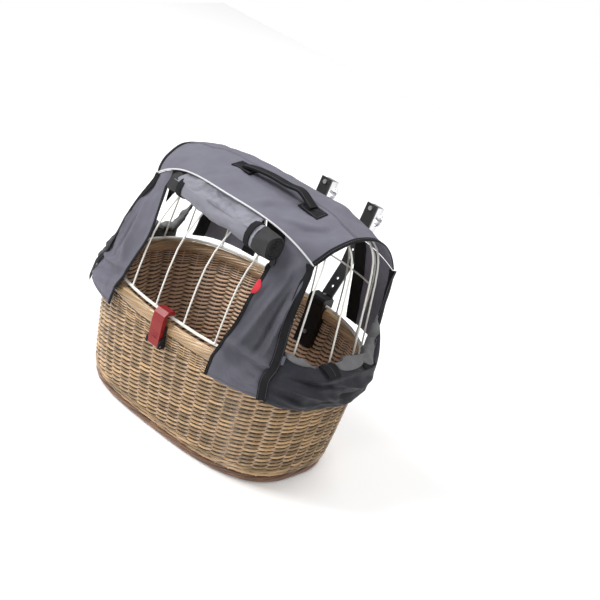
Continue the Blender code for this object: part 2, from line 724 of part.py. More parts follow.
def build_hanger(looks):
    """Build both hinge blocks, hanger arms and handlebar clamps with their fasteners."""
    down, out = leg_axes()
    lip_back = lip_back_y()
    lip_front = lip_back - LIP_T
    block_back = border_outside()
    block_top = rim_border_top() + GAP + BLOCK_H
    hinge = Vector((0.0, HINGE_Y, RAIL_HEIGHT))
    bore = RAIL_R + BORE_CLEARANCE
    drop = down * LIP_L
    pad = back_wall_y(BLOCK_X + BLOCK_W / 2.0, wall_top(), True) - FACET - GAP
    lower = [(lip_front, RAIL_HEIGHT - GAP), (lip_front, wall_top()),
             (lip_front + drop.y, wall_top() + drop.z), (pad + drop.y, wall_top() + drop.z),
             (pad, wall_top() - GAP), (lip_back, wall_top() - GAP), (lip_back, rim_border_top() + GAP),
             (block_back, rim_border_top() + GAP), (block_back, RAIL_HEIGHT - GAP)]
    notch = math.asin(GAP / bore)
    lower += arc(hinge, bore, -notch, -math.pi + notch, BORE_POINTS)
    upper = [(block_back, RAIL_HEIGHT + GAP), (block_back, block_top - BLOCK_ROUND),
             (block_back - BLOCK_ROUND, block_top), (lip_front + BLOCK_ROUND, block_top),
             (lip_front, block_top - BLOCK_ROUND), (lip_front, RAIL_HEIGHT + GAP)]
    upper += arc(hinge, bore, math.pi - notch, notch, BORE_POINTS)

    leg_top = Vector((0.0, border_outside() + GAP, wall_top())) + out * (ARM_T / 2.0)
    along, back = clamp_axes()
    bar = Vector((0.0, BAR_Y, BAR_Z))
    arm_mid = bar - back * (CLAMP_HALF_T + GAP + ARM_T / 2.0)
    stand = Vector((0.0, border_outside() + GAP + ARM_T / 2.0, block_top))
    knee = arm_mid - along * ARM_UPPER
    middle = [leg_top + down * ARM_LEG, leg_top, stand, knee, arm_mid + along * (CLAMP_HALF_L + BOLT_R)]
    arm_outline = strip_outline(middle, ARM_T)
    slope = (knee - stand).normalized()
    face = Vector((0.0, slope.z, -slope.y))
    hole_axis = [(stand + slope * ARM_HOLE_PITCH * k, face) for k in (1.0, 2.0)]
    hole_axis += [(knee + along * ARM_HOLE_PITCH * k, back) for k in range(1, ARM_HOLES + 1)]

    front_half = [(-CLAMP_HALF_L, -CLAMP_HALF_T), (-CLAMP_HALF_L, -GAP)]
    start = math.asin(GAP / BAR_BORE_R)
    turns = [-math.pi + start + (math.pi - 2.0 * start) * k / ROUND_POINTS for k in range(ROUND_POINTS + 1)]
    front_half += [(BAR_BORE_R * math.cos(a), BAR_BORE_R * math.sin(a)) for a in turns]
    front_half += [(CLAMP_HALF_L, -GAP), (CLAMP_HALF_L, -CLAMP_HALF_T)]
    back_half = [(CLAMP_HALF_L, GAP)]
    back_half += [(BAR_BORE_R * math.cos(a), -BAR_BORE_R * math.sin(a)) for a in reversed(turns)]
    back_half += [(-CLAMP_HALF_L, GAP), (-CLAMP_HALF_L, CLAMP_FLANGE_T)]
    rise = math.asin(CLAMP_FLANGE_T / CLAMP_HALF_T)
    arcs = [math.pi - rise - (math.pi - 2.0 * rise) * k / PAD_STEPS for k in range(PAD_STEPS + 1)]
    back_half += [(CLAMP_HALF_T * math.cos(a), CLAMP_HALF_T * math.sin(a)) for a in arcs]
    back_half += [(CLAMP_HALF_L, CLAMP_FLANGE_T)]

    for label, side in (("left", -1.0), ("right", 1.0)):
        x = side * BLOCK_X
        shift = Vector((x, 0.0, 0.0))
        ends = (x - BLOCK_W / 2.0, x + BLOCK_W / 2.0)
        arm_ends = (x - ARM_W / 2.0, x + ARM_W / 2.0)
        block = add_object("hinge_block_" + label, prism("hinge_block", lower, *ends), looks["black_plastic"])
        cap = add_object("hinge_cap_" + label, prism("hinge_cap", upper, *ends), looks["black_plastic"])
        arm_mesh = prism("hanger_arm", arm_outline, *arm_ends)
        arm = add_object("hanger_arm_" + label, arm_mesh, looks["black_steel"])
        seat = Vector((x, (HINGE_Y + bore + block_back) / 2.0, block_top + GAP))
        fastener("hinge_cap_screw_" + label, seat, Vector((0.0, 0.0, -1.0)), SCREW_R, BLOCK_H - SCREW_END_GAP,
                 SCREW_HEAD_R, SCREW_HEAD_H, looks)
        deep = Vector((0.0, 0.0, -BLOCK_H - CUT_OVERRUN))
        cap_bore = (seat - deep, seat + deep, SCREW_R + SCREW_CLEARANCE)
        place, length, _ = wall_bolts()[0 if side < 0.0 else 1]
        fastener("wall_bolt_" + label, place, out, BOLT_R, length, BOLT_HEAD_R, BOLT_HEAD_H, looks)
        nut = place + out * (length - NUT_H + GAP * 2.0)
        bm = bmesh.new()
        add_ring(bm, nut, nut + out * NUT_H, NUT_R, NUT_BORE_R, HEX_POINTS)
        add_object("wall_nut_" + label, mesh_from("wall_nut", bm), looks["steel"])
        wall_hole = (place - out * CUT_OVERRUN, place + out * (length + CUT_OVERRUN), BOLT_HOLE_R)
        clamp_holes = []
        for which, reach in (("lower", -1.0), ("upper", 1.0)):
            seat = shift + arm_mid + along * (CLAMP_BOLT_U * reach) - back * (ARM_T / 2.0 + GAP)
            length = ARM_T + CLAMP_HALF_T + CLAMP_FLANGE_T + BOLT_END
            fastener("clamp_bolt_%s_%s" % (which, label), seat, back, BOLT_R, length, BOLT_HEAD_R, BOLT_HEAD_H,
                     looks)
            clamp_holes.append((seat - back * CUT_OVERRUN, seat + back * (length + CUT_OVERRUN), BOLT_HOLE_R))
        bored(block, [cap_bore, wall_hole])
        bored(cap, [cap_bore])
        holes = []
        for place, normal in hole_axis:
            reach = normal * (ARM_T + CUT_OVERRUN)
            holes.append((shift + place - reach, shift + place + reach, ARM_HOLE_R))
        bored(arm, holes + [wall_hole] + clamp_holes)
        clamp_ends = (x - CLAMP_W / 2.0, x + CLAMP_W / 2.0)
        for part_name, outline in (("bar_clamp_front_", front_half), ("bar_clamp_back_", back_half)):
            placed = local_outline(bar, along, back, outline)
            half = add_object(part_name + label, prism("bar_clamp", placed, *clamp_ends), looks["alloy"])
            bored(half, clamp_holes)


def rail_depth(x):
    """Return how far the base rail lies behind and in front of the middle at an x."""
    return oval_depth(x, RAIL_HALF_X, RAIL_HALF_Y, RAIL_EXPONENT)


def arch_drop(x, half_x):
    """Return the height share of a wire that bends down towards the side."""
    return max(1.0 - abs(x / (half_x * ARCH_LEAN_SHARE)) ** ARCH_EXPONENT, 0.0) ** (1.0 / ARCH_EXPONENT)


def hoop_point(x, share):
    """Return a point of the hoop at an x; the share runs from its front foot to its back foot."""
    rows = [(k / (len(HOOP_SHARES) - 1), depth, height) for k, (depth, height) in enumerate(HOOP_SHARES)]
    depth, height = table_value(rows, share, 1), table_value(rows, share, 2)
    foot = RAIL_R + GAP
    front = rail_depth(x) / RAIL_HALF_Y
    back = min(rail_depth(x), HINGE_Y) / HINGE_Y
    ratio = front if depth < 0.0 else back
    spread = HOOP_FRONT_SHARE if depth < 0.0 else HOOP_BACK_SHARE
    ratio += (1.0 - ratio) * spread * min(height / HOOP_SPREAD_SHARE, 1.0)
    reach = RAIL_HALF_Y if depth < 0.0 else HINGE_Y / HOOP_SHARES[-1][0]
    z = foot + height * arch_drop(x, RAIL_HALF_X) * (CAGE_HEIGHT - foot)
    return Vector((x, depth * reach * ratio, RAIL_HEIGHT + z))


def build_cage(looks, lid_axis):
    """Build the wire cage: base rail, hoops, arches and the cross wire at the back."""
    corner = oval_depth(HINGE_Y, RAIL_HALF_Y, RAIL_HALF_X, RAIL_EXPONENT)
    bend = turn_at_x(corner, RAIL_HALF_X, RAIL_EXPONENT)
    turns = [turn for turn in plan_turns() if not bend < turn < math.pi - bend] + [bend, math.pi - bend]
    rail = []
    for turn in sorted(turns):
        x, y = plan_point(RAIL_HALF_X, RAIL_HALF_Y, RAIL_EXPONENT, turn)
        rail.append(Vector((x, y, RAIL_HEIGHT)))
    wire("cage_rail", rail, RAIL_R, looks["white_wire"], lid_axis, closed=True, sides_step=2)
    for k in range(HOOP_COUNT):
        x = HOOP_PITCH * (k - (HOOP_COUNT - 1) / 2.0)
        points = [hoop_point(x, i / TUBE_POINTS) for i in range(TUBE_POINTS + 1)]
        wire("cage_hoop_%d" % (k + 1), points, BAR_R, looks["white_wire"], lid_axis)
    foot = RAIL_R + GAP
    for k, (foot_share, top_share, height_share) in enumerate(ARCH_SHARES):
        foot_y, top_y = foot_share * RAIL_HALF_Y, top_share * RAIL_HALF_Y
        half_x = oval_depth(foot_y, RAIL_HALF_Y, RAIL_HALF_X, RAIL_EXPONENT)
        height = height_share * CAGE_HEIGHT + ARCH_OVER - foot
        points = []
        for i in range(TUBE_POINTS + 1):
            across, up = plan_point(1.0, 1.0, ARCH_EXPONENT, math.pi * i / TUBE_POINTS)
            up = max(up, 0.0)
            lean = 1.0 - (1.0 - ARCH_LEAN_SHARE) * min(up / ARCH_LEAN_RISE_SHARE, 1.0)
            y = foot_y + (top_y - foot_y) * up * up
            points.append(Vector((half_x * across * lean, y, RAIL_HEIGHT + foot + height * up)))
        wire("cage_arch_%d" % (k + 1), points, BAR_R, looks["white_wire"], lid_axis)
    points = []
    steps = TUBE_POINTS // 2
    for i in range(steps + 1):
        x = CROSS_WIRE_HALF * (2.0 * i / steps - 1.0)
        share = cross_wire_share()
        behind = hoop_point(x, share)
        points.append(Vector((x, behind.y - BAR_R * 2.0 - WIRE_GAP, behind.z)))
    wire("back_cross_wire", points, BAR_R, looks["white_wire"], lid_axis)


def cross_wire_share():
    """Return the place along a hoop's back where the cross wire passes."""
    rest = 1.0 - CROSS_WIRE_FROM_SHARE
    shares = [CROSS_WIRE_FROM_SHARE + rest * k / SEARCH_STEPS for k in range(SEARCH_STEPS + 1)]
    return min(shares, key=lambda s: abs(hoop_point(0.0, s).z - RAIL_HEIGHT - CROSS_WIRE_HEIGHT))


def hood_halves(height):
    """Return half width, front depth and back depth of the hood's outside above the rail."""
    share = height / HOOD_HEIGHT
    return (table_value(HOOD_SHARES, share, 1) * RAIL_HALF_X, table_value(HOOD_SHARES, share, 2) * RAIL_HALF_Y,
            table_value(HOOD_SHARES, share, 3) * RAIL_HALF_Y)


def roof_point(across, along):
    """Return a point on the roof; across runs from -1 to 1, along from the front edge to the back."""
    rows = [(k / (len(ROOF_SHARES) - 1),) + row for k, row in enumerate(ROOF_SHARES)]
    mid_y, mid_z, edge_x, edge_y, edge_z = [table_value(rows, along, k) for k in range(1, 6)]
    sweep = ROOF_FRONT_SWEEP_SHARE + (ROOF_BACK_SWEEP_SHARE - ROOF_FRONT_SWEEP_SHARE) * along
    y = (mid_y + (edge_y - mid_y) * abs(across) ** sweep) * RAIL_HALF_Y
    z = (mid_z + (edge_z - mid_z) * abs(across) ** ROOF_CROWN_SHARE) * HOOD_HEIGHT
    return Vector((edge_x * across * RAIL_HALF_X, y, RAIL_HEIGHT + z))


def roof_at(x, y):
    """Return the roof's outside above a place in the plan."""
    low, high = 0.0, 1.0
    for _ in range(HALVINGS):
        middle = (low + high) / 2.0
        width = roof_point(1.0, middle).x
        if roof_point(x / width, middle).y < y:
            low = middle
        else:
            high = middle
    return Vector((x, y, roof_point(x / roof_point(1.0, low).x, low).z))


def roof_edge(x, along):
    """Return the depth and height of the roof's front or back edge at an x."""
    width = roof_point(1.0, along).x
    return roof_point(min(abs(x) / width, 1.0), along)


def hood_centre():
    return Vector((0.0, 0.0, RAIL_HEIGHT))


def build_roof(looks, lid_axis):
    """Build the roof cloth and the piping on its front edge."""
    across = [2.0 * j / ROOF_COLUMNS - 1.0 for j in range(ROOF_COLUMNS + 1)]
    outer = [[roof_point(u, i / ROOF_ROWS) for u in across] for i in range(ROOF_ROWS + 1)]
    inner = offset_grid(outer, CLOTH, hood_centre())
    add_object("hood_roof", slab("hood_roof", outer, inner), looks["cloth"], lid_axis, soft=True)
    points = []
    for u in across:
        points.append(roof_point(u, 0.0) + Vector((0.0, -PIPING_R - GAP * 2.0, 0.0)))
    wire("roof_piping", points, PIPING_R, looks["silver_cloth"], lid_axis)


def turn_at_x(x, half_x, exponent):
    return math.acos(min(abs(x / half_x), 1.0) ** (exponent / 2.0))


def corner_grid(side, front, rows, columns, lift=0.0, inset=0.0):
    """Return the outside of a front or back corner panel, from its hem to the roof."""
    table = FRONT_CORNER_SHARES if front else BACK_CORNER_SHARES
    exponent = HOOD_EXPONENT if front else HOOD_BACK_EXPONENT
    hem = table[0][0] * HOOD_HEIGHT
    along = 0.0 if front else 1.0
    lap = FRONT_LAP if front else BACK_LAP
    grid = []
    for i in range(rows + 1):
        line = []
        for j in range(columns + 1):
            top = roof_edge(table[-1][1] * RAIL_HALF_X, along).z - RAIL_HEIGHT
            height = hem + (top - hem) * i / rows
            for _ in range(FIT_ROUNDS):
                half_x, front_y, back_y = hood_halves(height)
                half_y = front_y if front else back_y
                share = min(height / HOOD_HEIGHT, table[-1][0])
                to_window = turn_at_x(table_value(table, share, 1) * RAIL_HALF_X, half_x, exponent)
                if front:
                    to_side = turn_at_x(table_value(table, share, 2) * RAIL_HALF_X, half_x, exponent)
                else:
                    edge_y = table_value(table, share, 2) * RAIL_HALF_Y
                    to_side = math.asin(min(edge_y / half_y, 1.0) ** (exponent / 2.0))
                turn = to_window + (to_side - to_window) * (inset + (1.0 - inset) * j / columns)
                x, y = plan_point(half_x + lift, half_y + lift, exponent, turn)
                top = roof_edge(x, along).z - RAIL_HEIGHT - lap
                height = hem + (top - hem) * i / rows
            blend = (i / rows) ** 4
            meet = abs(roof_edge(x, along).y) - CLOTH / 2.0
            y = y + (meet - y) * blend
            line.append(Vector((side * x, -y if front else y, RAIL_HEIGHT + height)))
        grid.append(line)
    return grid


def build_corners(looks, lid_axis):
    """Build the four corner panels of the hood."""
    for label, side in (("left", -1.0), ("right", 1.0)):
        for place, front in (("front", True), ("back", False)):
            name = "hood_%s_corner_%s" % (place, label)
            outer = corner_grid(side, front, CORNER_ROWS, CORNER_COLUMNS)
            inner = offset_grid(outer, CLOTH, hood_centre())
            add_object(name, slab(name, outer, inner), looks["cloth"], lid_axis, soft=True)


def flap_place(side, y, height, out):
    """Return a point a given way outside the rail at a depth and a height above the rail."""
    x = oval_depth(y, RAIL_HALF_Y + out, RAIL_HALF_X + out, RAIL_EXPONENT)
    return Vector((side * x, y, RAIL_HEIGHT + height))


def flap_rows(side, share, lift=0.0):
    """Return the outer and inner line of the side flap's section, from its top edge to its hem."""
    first, last = FLAP_SHARES[0][0], FLAP_SHARES[-1][0]
    key = first + (last - first) * share
    y = key * RAIL_HALF_Y
    top, hem = table_value(FLAP_SHARES, key, 1) * HOOD_HEIGHT, table_value(FLAP_SHARES, key, 2) * HOOD_HEIGHT
    wave = FLAP_WAVE * math.sin(math.tau * FLAP_WAVES * share)
    near = RAIL_R + FLAP_SEAT
    lip, far = near + FLAP_LIP, FLAP_INNER + FLAP_BULGE
    outer, inner = [], []
    upper = [(top + (FLAP_FOLD_HEIGHT - top) * row[0], 0.0) + row[1:] for row in FLAP_UPPER_SHARES]
    lower = [(FLAP_FOLD_HEIGHT + (hem - FLAP_FOLD_HEIGHT) * row[0],) + row for row in FLAP_LOWER_SHARES]
    for height, run, inner_share, outer_share in upper + lower:
        out = lip + (far - lip) * outer_share + wave * outer_share + lift
        place = y - FLAP_SKEW * run * (1.0 - share) ** FLAP_SKEW_EXPONENT
        outer.append(flap_place(side, place, height, out))
        inner.append(flap_place(side, place, height, near + (FLAP_INNER - near) * inner_share))
    return outer, inner


def build_flaps(looks, lid_axis):
    """Build the side flaps, which hang rolled down over the rail, and the straps on them."""
    steps = FLAP_STEPS
    for label, side in (("left", -1.0), ("right", 1.0)):
        pairs = [flap_rows(side, k / steps) for k in range(steps + 1)]
        name = "side_flap_" + label
        mesh = slab(name, [pair[0] for pair in pairs], [pair[1] for pair in pairs])
        add_object(name, mesh, looks["cloth"], lid_axis, soft=True)
        outer = corner_grid(side, True, CORNER_ROWS, STRAP_COLUMNS, lift=STRAP_T + WIRE_GAP,
                            inset=STRAP_INSET_SHARE)[:STRAP_ROWS]
        inner = offset_grid(outer, STRAP_T, hood_centre())
        name = "corner_strap_" + label
        add_object(name, slab(name, outer, inner), looks["black_webbing"], lid_axis, soft=True)


def build_roll(looks, lid_axis):
    """Build the rolled-up front window with its dark ends and its two straps."""
    share = min((k / (2.0 * ROLL_SEARCH_STEPS) for k in range(ROLL_SEARCH_STEPS)),
                key=lambda s: abs(hoop_point(0.0, s).z - RAIL_HEIGHT - CAGE_HEIGHT + ROLL_DROP))
    here = hoop_point(HOOP_PITCH / 2.0, share)
    ahead = hoop_point(HOOP_PITCH / 2.0, share + ROLL_AHEAD_SHARE)
    run = (ahead - here).normalized()
    normal = Vector((0.0, -run.z, run.y))
    centre = here + normal * (ROLL_R + BAR_R + ROLL_GAP)
    low, high = Vector((ROLL_LEFT, centre.y, centre.z)), Vector((ROLL_RIGHT, centre.y, centre.z))
    bm = bmesh.new()
    add_cylinder(bm, low, high, ROLL_R, ROLL_SIDES)
    add_object("window_roll", mesh_from("window_roll", bm), looks["silver_cloth"], lid_axis)
    for label, x in (("left", -ROLL_STRAP_X), ("right", ROLL_STRAP_X)):
        start = Vector((x - ROLL_STRAP_W / 2.0, centre.y, centre.z))
        end = Vector((x + ROLL_STRAP_W / 2.0, centre.y, centre.z))
        bm = bmesh.new()
        add_ring(bm, start, end, ROLL_R + ROLL_GAP + ROLL_STRAP_T, ROLL_R + ROLL_GAP, ROLL_SIDES)
        name = "roll_strap_" + label
        add_object(name, mesh_from(name, bm), looks["black_webbing"], lid_axis)


def roof_strip(points, width, thickness, lifts):
    """Return outer and inner grids of a band that lies along the roof's X at given lifts."""
    outer, inner = [], []
    for x, lift in zip(points, lifts):
        edges = [roof_at(x, HANDLE_Y - width / 2.0), roof_at(x, HANDLE_Y + width / 2.0)]
        outer.append([edge + Vector((0.0, 0.0, lift + thickness)) for edge in edges])
        inner.append([edge + Vector((0.0, 0.0, lift)) for edge in edges])
    return outer, inner


def build_handle(looks, lid_axis):
    """Build the carrying handle and the two tabs it is sewn to."""
    for label, x in (("left", HANDLE_LEFT), ("right", HANDLE_RIGHT)):
        steps = TAB_STEPS
        places = [x - TAB_L / 2.0 + TAB_L * k / steps for k in range(steps + 1)]
        outer, inner = roof_strip(places, TAB_W, TAB_T, [TAB_LIFT] * len(places))
        name = "handle_tab_" + label
        add_object(name, slab(name, outer, inner), looks["black_webbing"], lid_axis, soft=True)
    steps = HANDLE_STEPS
    places, lifts = [], []
    for k in range(steps + 1):
        share = k / steps
        places.append(HANDLE_LEFT + (HANDLE_RIGHT - HANDLE_LEFT) * share)
        rise = HANDLE_RISE * math.sin(math.pi * share) ** HANDLE_EXPONENT
        lifts.append(TAB_LIFT + TAB_T + TAB_LIFT / 2.0 + rise)
    outer, inner = roof_strip(places, HANDLE_W, HANDLE_T, lifts)
    add_object("carry_handle", slab("carry_handle", outer, inner), looks["black_webbing"], lid_axis, soft=True)


def build_small_trim(looks, lid_axis):
    """Build the zip pull and the sewn label on the right front corner."""
    outer = corner_grid(1.0, True, CORNER_ROWS, CORNER_COLUMNS, lift=GAP / 2.0)
    for name, row, length, width, thickness, look in (
            ("zip_pull", PULL_ROW, PULL_L, PULL_W, PULL_T, "black_plastic"),
            ("side_label", LABEL_ROW, LABEL_L, LABEL_W, LABEL_T, "red_cloth")):
        corner, beside, above = outer[row][0], outer[row][1], outer[row + 1][0]
        across = (beside - corner).normalized()
        up = (above - corner).normalized()
        normal = across.cross(up).normalized()
        if normal.y > 0.0:
            normal = -normal
        base = corner + across * (width * TRIM_SET_SHARE) + normal * GAP
        loops = []
        for lift in (0.0, thickness):
            loops.append([base + across * (width * a) + up * (length * b) + normal * lift
                          for a, b in TRIM_OUTLINE_SHARES])
        add_object(name, loft(name, loops), looks[look], lid_axis)


def main():
    clear_scene()
    looks = {
        "willow": finish("willow", (0.55, 0.36, 0.18), 0.6),
        "willow_dark": finish("willow_dark", (0.36, 0.18, 0.09), 0.5),
        "white_wire": finish("white_wire", (0.85, 0.84, 0.82), 0.35),
        "black_plastic": finish("black_plastic", (0.02, 0.02, 0.02), 0.5),
        "black_steel": finish("black_steel", (0.03, 0.03, 0.03), 0.4, 1.0),
        "steel": finish("steel", (0.55, 0.55, 0.56), 0.3, 1.0),
        "alloy": finish("alloy", (0.75, 0.75, 0.76), 0.3, 1.0),
        "red_plastic": finish("red_plastic", (0.55, 0.02, 0.03), 0.4),
        "cloth": finish("cloth", (0.16, 0.17, 0.21), 0.85),
        "silver_cloth": finish("silver_cloth", (0.55, 0.55, 0.60), 0.5),
        "black_webbing": finish("black_webbing", (0.02, 0.02, 0.025), 0.8),
        "red_cloth": finish("red_cloth", (0.6, 0.03, 0.06), 0.7),
    }
    lid_axis = axis_empty("lid_axis", Vector((0.0, HINGE_Y, RAIL_HEIGHT)))
    lever_axis = axis_empty("lever_axis", lever_pin())
    build_basket(looks)
    build_latch(looks, lever_axis)
    build_hanger(looks)
    build_cage(looks, lid_axis)
    build_roof(looks, lid_axis)
    build_corners(looks, lid_axis)
    build_flaps(looks, lid_axis)
    build_roll(looks, lid_axis)
    build_handle(looks, lid_axis)
    build_small_trim(looks, lid_axis)


main()
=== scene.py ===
"""Dog carrier basket for a bicycle handlebar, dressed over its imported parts.

Each operator makes one piece or one group of like pieces. Metres, +Z up, the front faces -Y.
"""

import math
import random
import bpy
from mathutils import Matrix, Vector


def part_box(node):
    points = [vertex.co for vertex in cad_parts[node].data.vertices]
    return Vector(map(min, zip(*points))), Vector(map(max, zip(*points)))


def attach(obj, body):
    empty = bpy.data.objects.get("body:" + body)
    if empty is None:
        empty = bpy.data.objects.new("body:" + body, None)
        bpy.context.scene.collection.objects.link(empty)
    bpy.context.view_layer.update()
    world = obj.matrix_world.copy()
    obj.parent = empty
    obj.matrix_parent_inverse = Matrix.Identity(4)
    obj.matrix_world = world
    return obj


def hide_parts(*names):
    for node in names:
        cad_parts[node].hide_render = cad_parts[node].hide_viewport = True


bl_info = {
    "name": "Dog Bicycle Basket",
    "version": (1, 0, 0),
    "blender": (4, 5, 0),
    "location": "3D View > Sidebar > Dog Basket",
    "description": "Makes a willow dog basket with its wire cage, cloth hood, latch and handlebar clamps",
    "category": "Add Mesh",
}

import bpy
import numpy as np
from mathutils import Matrix, Vector, noise

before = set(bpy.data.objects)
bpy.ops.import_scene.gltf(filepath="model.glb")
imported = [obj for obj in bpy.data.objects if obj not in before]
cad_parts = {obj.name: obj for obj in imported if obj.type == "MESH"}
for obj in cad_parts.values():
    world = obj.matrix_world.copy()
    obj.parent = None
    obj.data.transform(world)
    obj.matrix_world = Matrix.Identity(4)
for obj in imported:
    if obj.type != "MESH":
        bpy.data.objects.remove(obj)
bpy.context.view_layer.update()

# Sizes that the part's source gives, in metres; those named SHARES are shares of the rail's half sizes and
# of the hood's height
RAIL_HEIGHT = 0.245
RAIL_HALF_X = 0.260
RAIL_HALF_Y = 0.1755
RAIL_EXPONENT = 2.5
HINGE_Y = 0.1705
HOOP_STEP = 0.074
RAIL_R = 0.003
RIM_HALF_X = 0.266
RIM_HALF_Y = 0.181
RIM_BORDER_W = 0.018
FOOT_HALF_X = 0.239
FOOT_HALF_Y = 0.144
FOOT_EXPONENT = 3.0
FOOT_BORDER_W = 0.014
RIM_PLAN = (RIM_HALF_X, RIM_HALF_Y, RAIL_EXPONENT)
FOOT_PLAN = (FOOT_HALF_X, FOOT_HALF_Y, FOOT_EXPONENT)
WALL = 0.010
WALL_SHARES = ((0.0, 0.0), (0.06, 0.16), (0.3, 0.42), (0.6, 0.68), (1.0, 1.0))
HOOD_HEIGHT = 0.260
HOOD_EXPONENT = 2.8
HOOD_BACK_EXPONENT = 4.0
BACK_TUCK_SHARE = 0.06
LEFT_TUCK_SHARE = 0.08
LEFT_DROP_SHARE = 0.07
# Outside of the hood over its height: height, half width, front depth, back depth
HOOD_SHARES = (
    (-0.200, 1.128, 1.128, 1.060), (-0.080, 1.108, 1.112, 1.050), (-0.035, 1.096, 1.106, 1.040),
    (0.030, 1.046, 1.052, 1.020), (0.190, 1.010, 1.000, 1.005), (0.404, 0.988, 0.950, 0.975),
    (0.558, 0.972, 0.862, 0.925), (0.685, 0.955, 0.722, 0.850), (0.770, 0.942, 0.610, 0.770),
    (0.830, 0.930, 0.520, 0.690),
)
# Roof from its front edge to its back edge: centre depth and height, then edge width, depth, height
ROOF_SHARES = (
    (-0.655, 0.915, 0.796, -0.462, 0.731), (-0.500, 0.950, 0.827, -0.410, 0.788),
    (-0.342, 0.973, 0.854, -0.313, 0.854), (-0.114, 0.996, 0.888, -0.100, 0.921),
    (0.114, 1.000, 0.896, 0.114, 0.919), (0.285, 0.977, 0.896, 0.285, 0.890),
    (0.456, 0.927, 0.892, 0.456, 0.831), (0.590, 0.865, 0.888, 0.570, 0.765),
    (0.700, 0.795, 0.886, 0.650, 0.700), (0.800, 0.710, 0.882, 0.720, 0.630),
)
ROOF_CROWN_SHARE = 3.0
ROOF_FRONT_SWEEP_SHARE = 1.9
ROOF_BACK_SWEEP_SHARE = 5.0
# Front corner panel over its height: height, edge towards the window, edge towards the side
FRONT_CORNER_SHARES = (
    (-0.180, 0.530, 0.912), (-0.075, 0.534, 0.895), (0.060, 0.542, 0.880), (0.190, 0.572, 0.864),
    (0.280, 0.588, 0.852), (0.430, 0.602, 0.838), (0.570, 0.630, 0.822), (0.700, 0.655, 0.798),
)
# Back corner panel over its height: height, edge towards the window, edge towards the side
BACK_CORNER_SHARES = (
    (0.012, 0.500, 0.650), (0.150, 0.480, 0.650), (0.330, 0.465, 0.648), (0.500, 0.462, 0.640),
    (0.620, 0.470, 0.600),
)
# Side flap from front to back: depth, height of its top edge, height of its hem
FLAP_SHARES = (
    (-0.690, 0.150, -0.190), (-0.600, 0.120, -0.215), (-0.350, 0.062, -0.240),
    (-0.120, 0.072, -0.255), (0.120, 0.088, -0.290), (0.300, 0.058, -0.300), (0.430, 0.090, -0.285),
    (0.560, 0.330, -0.250),
)
FLAP_SKEW = 0.030
FLAP_INNER = 0.027
FLAP_BULGE = 0.008
FLAP_LIP = 0.005
FLAP_SEAT = -0.0002
FLAP_FOLD = 0.002
FLAP_TUCK = 0.024
# Share of the tuck that the rear end of the hem leaves out, so that it can pass the rim when the lid opens
FLAP_FREE = 0.9
# Window edge of each front panel: how far the whole edge stands in the window, then the size, height and
# spread of its bulge
PANEL_WIDER_SHARES = {"left": 0.0, "right": 0.045}
PANEL_BULGE_SHARES = {"left": (0.17, 0.42, 0.30), "right": (0.10, 0.80, 0.24)}
FACING_IN = 0.100
HANDLE_Y = -0.028
HANDLE_LEFT = -0.040
HANDLE_RIGHT = 0.132
TAB_HALF_X = 0.024
TAB_HALF_Y = 0.0145
HOOD_MIDDLE = (0.0, 0.0, RAIL_HEIGHT)

# Points of a woven rod for each stake, of a packing rod and of a border's strand
ROW_STEPS = 7
PACKING_STEPS = 240
BORDER_STEPS = 420
# Radius of a woven rod and of a packing rod, as a share of the row's pitch
ROD_SHARE, PACKING_SHARE = 0.29, 0.255
FINE_ROD_SHARE, FINE_PACKING_SHARE = 0.28, 0.27
FLOOR_RIBS = 11
FLOOR_RODS = 78

# Thickness of each cloth
ROOF_THICK = 0.0014
PANEL_THICK = 0.0015
BAND_THICK = 0.0008
FACING_THICK = 0.0013
POUCH_THICK = 0.0017
LINING_THICK = 0.0012
TAB_THICK = 0.0022
# Width and thickness of each tape
ROOF_BINDING = (0.0095, 0.0016)
WINDOW_BINDING = (0.0055, 0.0014)
SIDE_BINDING = (0.0160, 0.0018)
CORNER_STRAP = (0.0180, 0.0015)
FLAP_TAB = (0.031, 0.0026)
ROLL_STRAP = (0.013, 0.0018)
HANDLE_WEBBING = (0.0215, 0.0022)
# Pitch of the cloth's own weave
WEAVE_PITCH = 0.0009
# Thread
THREAD_R = 0.00035
THREAD_LIFT = 0.0003

# Ripples of each cloth: their size and their height
ROOF_RIPPLES = ((0.060, 0.0058), (0.022, 0.0020))
FRONT_RIPPLES = ((0.045, 0.0060), (0.018, 0.0016))
BACK_RIPPLES = ((0.050, 0.0020),)
FACING_RIPPLES = ((0.015, 0.0024),)
FLAP_RIPPLES = ((0.060, 0.0070), (0.024, 0.0034))
LINING_RIPPLES = ((0.022, 0.0085), (0.009, 0.0030))
WINDOW_RIPPLES = ((0.030, 0.0110), (0.011, 0.0040))
# Large creases of each cloth: start and end across and up it, width and height of the fold
ROOF_CREASES = (
    ((0.30, 0.02), (0.42, 0.30), 0.026, 0.0036), ((0.62, 0.03), (0.74, 0.34), 0.028, 0.0044),
    ((0.78, 0.10), (0.93, 0.30), 0.024, 0.0050), ((0.86, 0.06), (0.97, 0.46), 0.022, -0.0040),
    ((0.60, 0.55), (0.92, 0.62), 0.034, 0.0032), ((0.12, 0.10), (0.22, 0.40), 0.030, 0.0030),
    ((0.45, 0.40), (0.80, 0.48), 0.040, 0.0022),
)
FRONT_CREASES = (
    ((0.02, 0.27), (0.98, 0.23), 0.022, 0.0105), ((0.02, 0.21), (0.75, 0.14), 0.026, -0.0075),
    ((0.25, 0.11), (0.98, 0.08), 0.022, 0.0065), ((0.22, 0.30), (0.50, 0.80), 0.060, 0.0095),
    ((0.52, 0.30), (0.66, 0.74), 0.042, -0.0085), ((0.70, 0.34), (0.84, 0.85), 0.034, 0.0080),
    ((0.20, 0.78), (0.75, 0.95), 0.050, 0.0035), ((0.05, 0.45), (0.20, 0.70), 0.050, -0.0040),
)
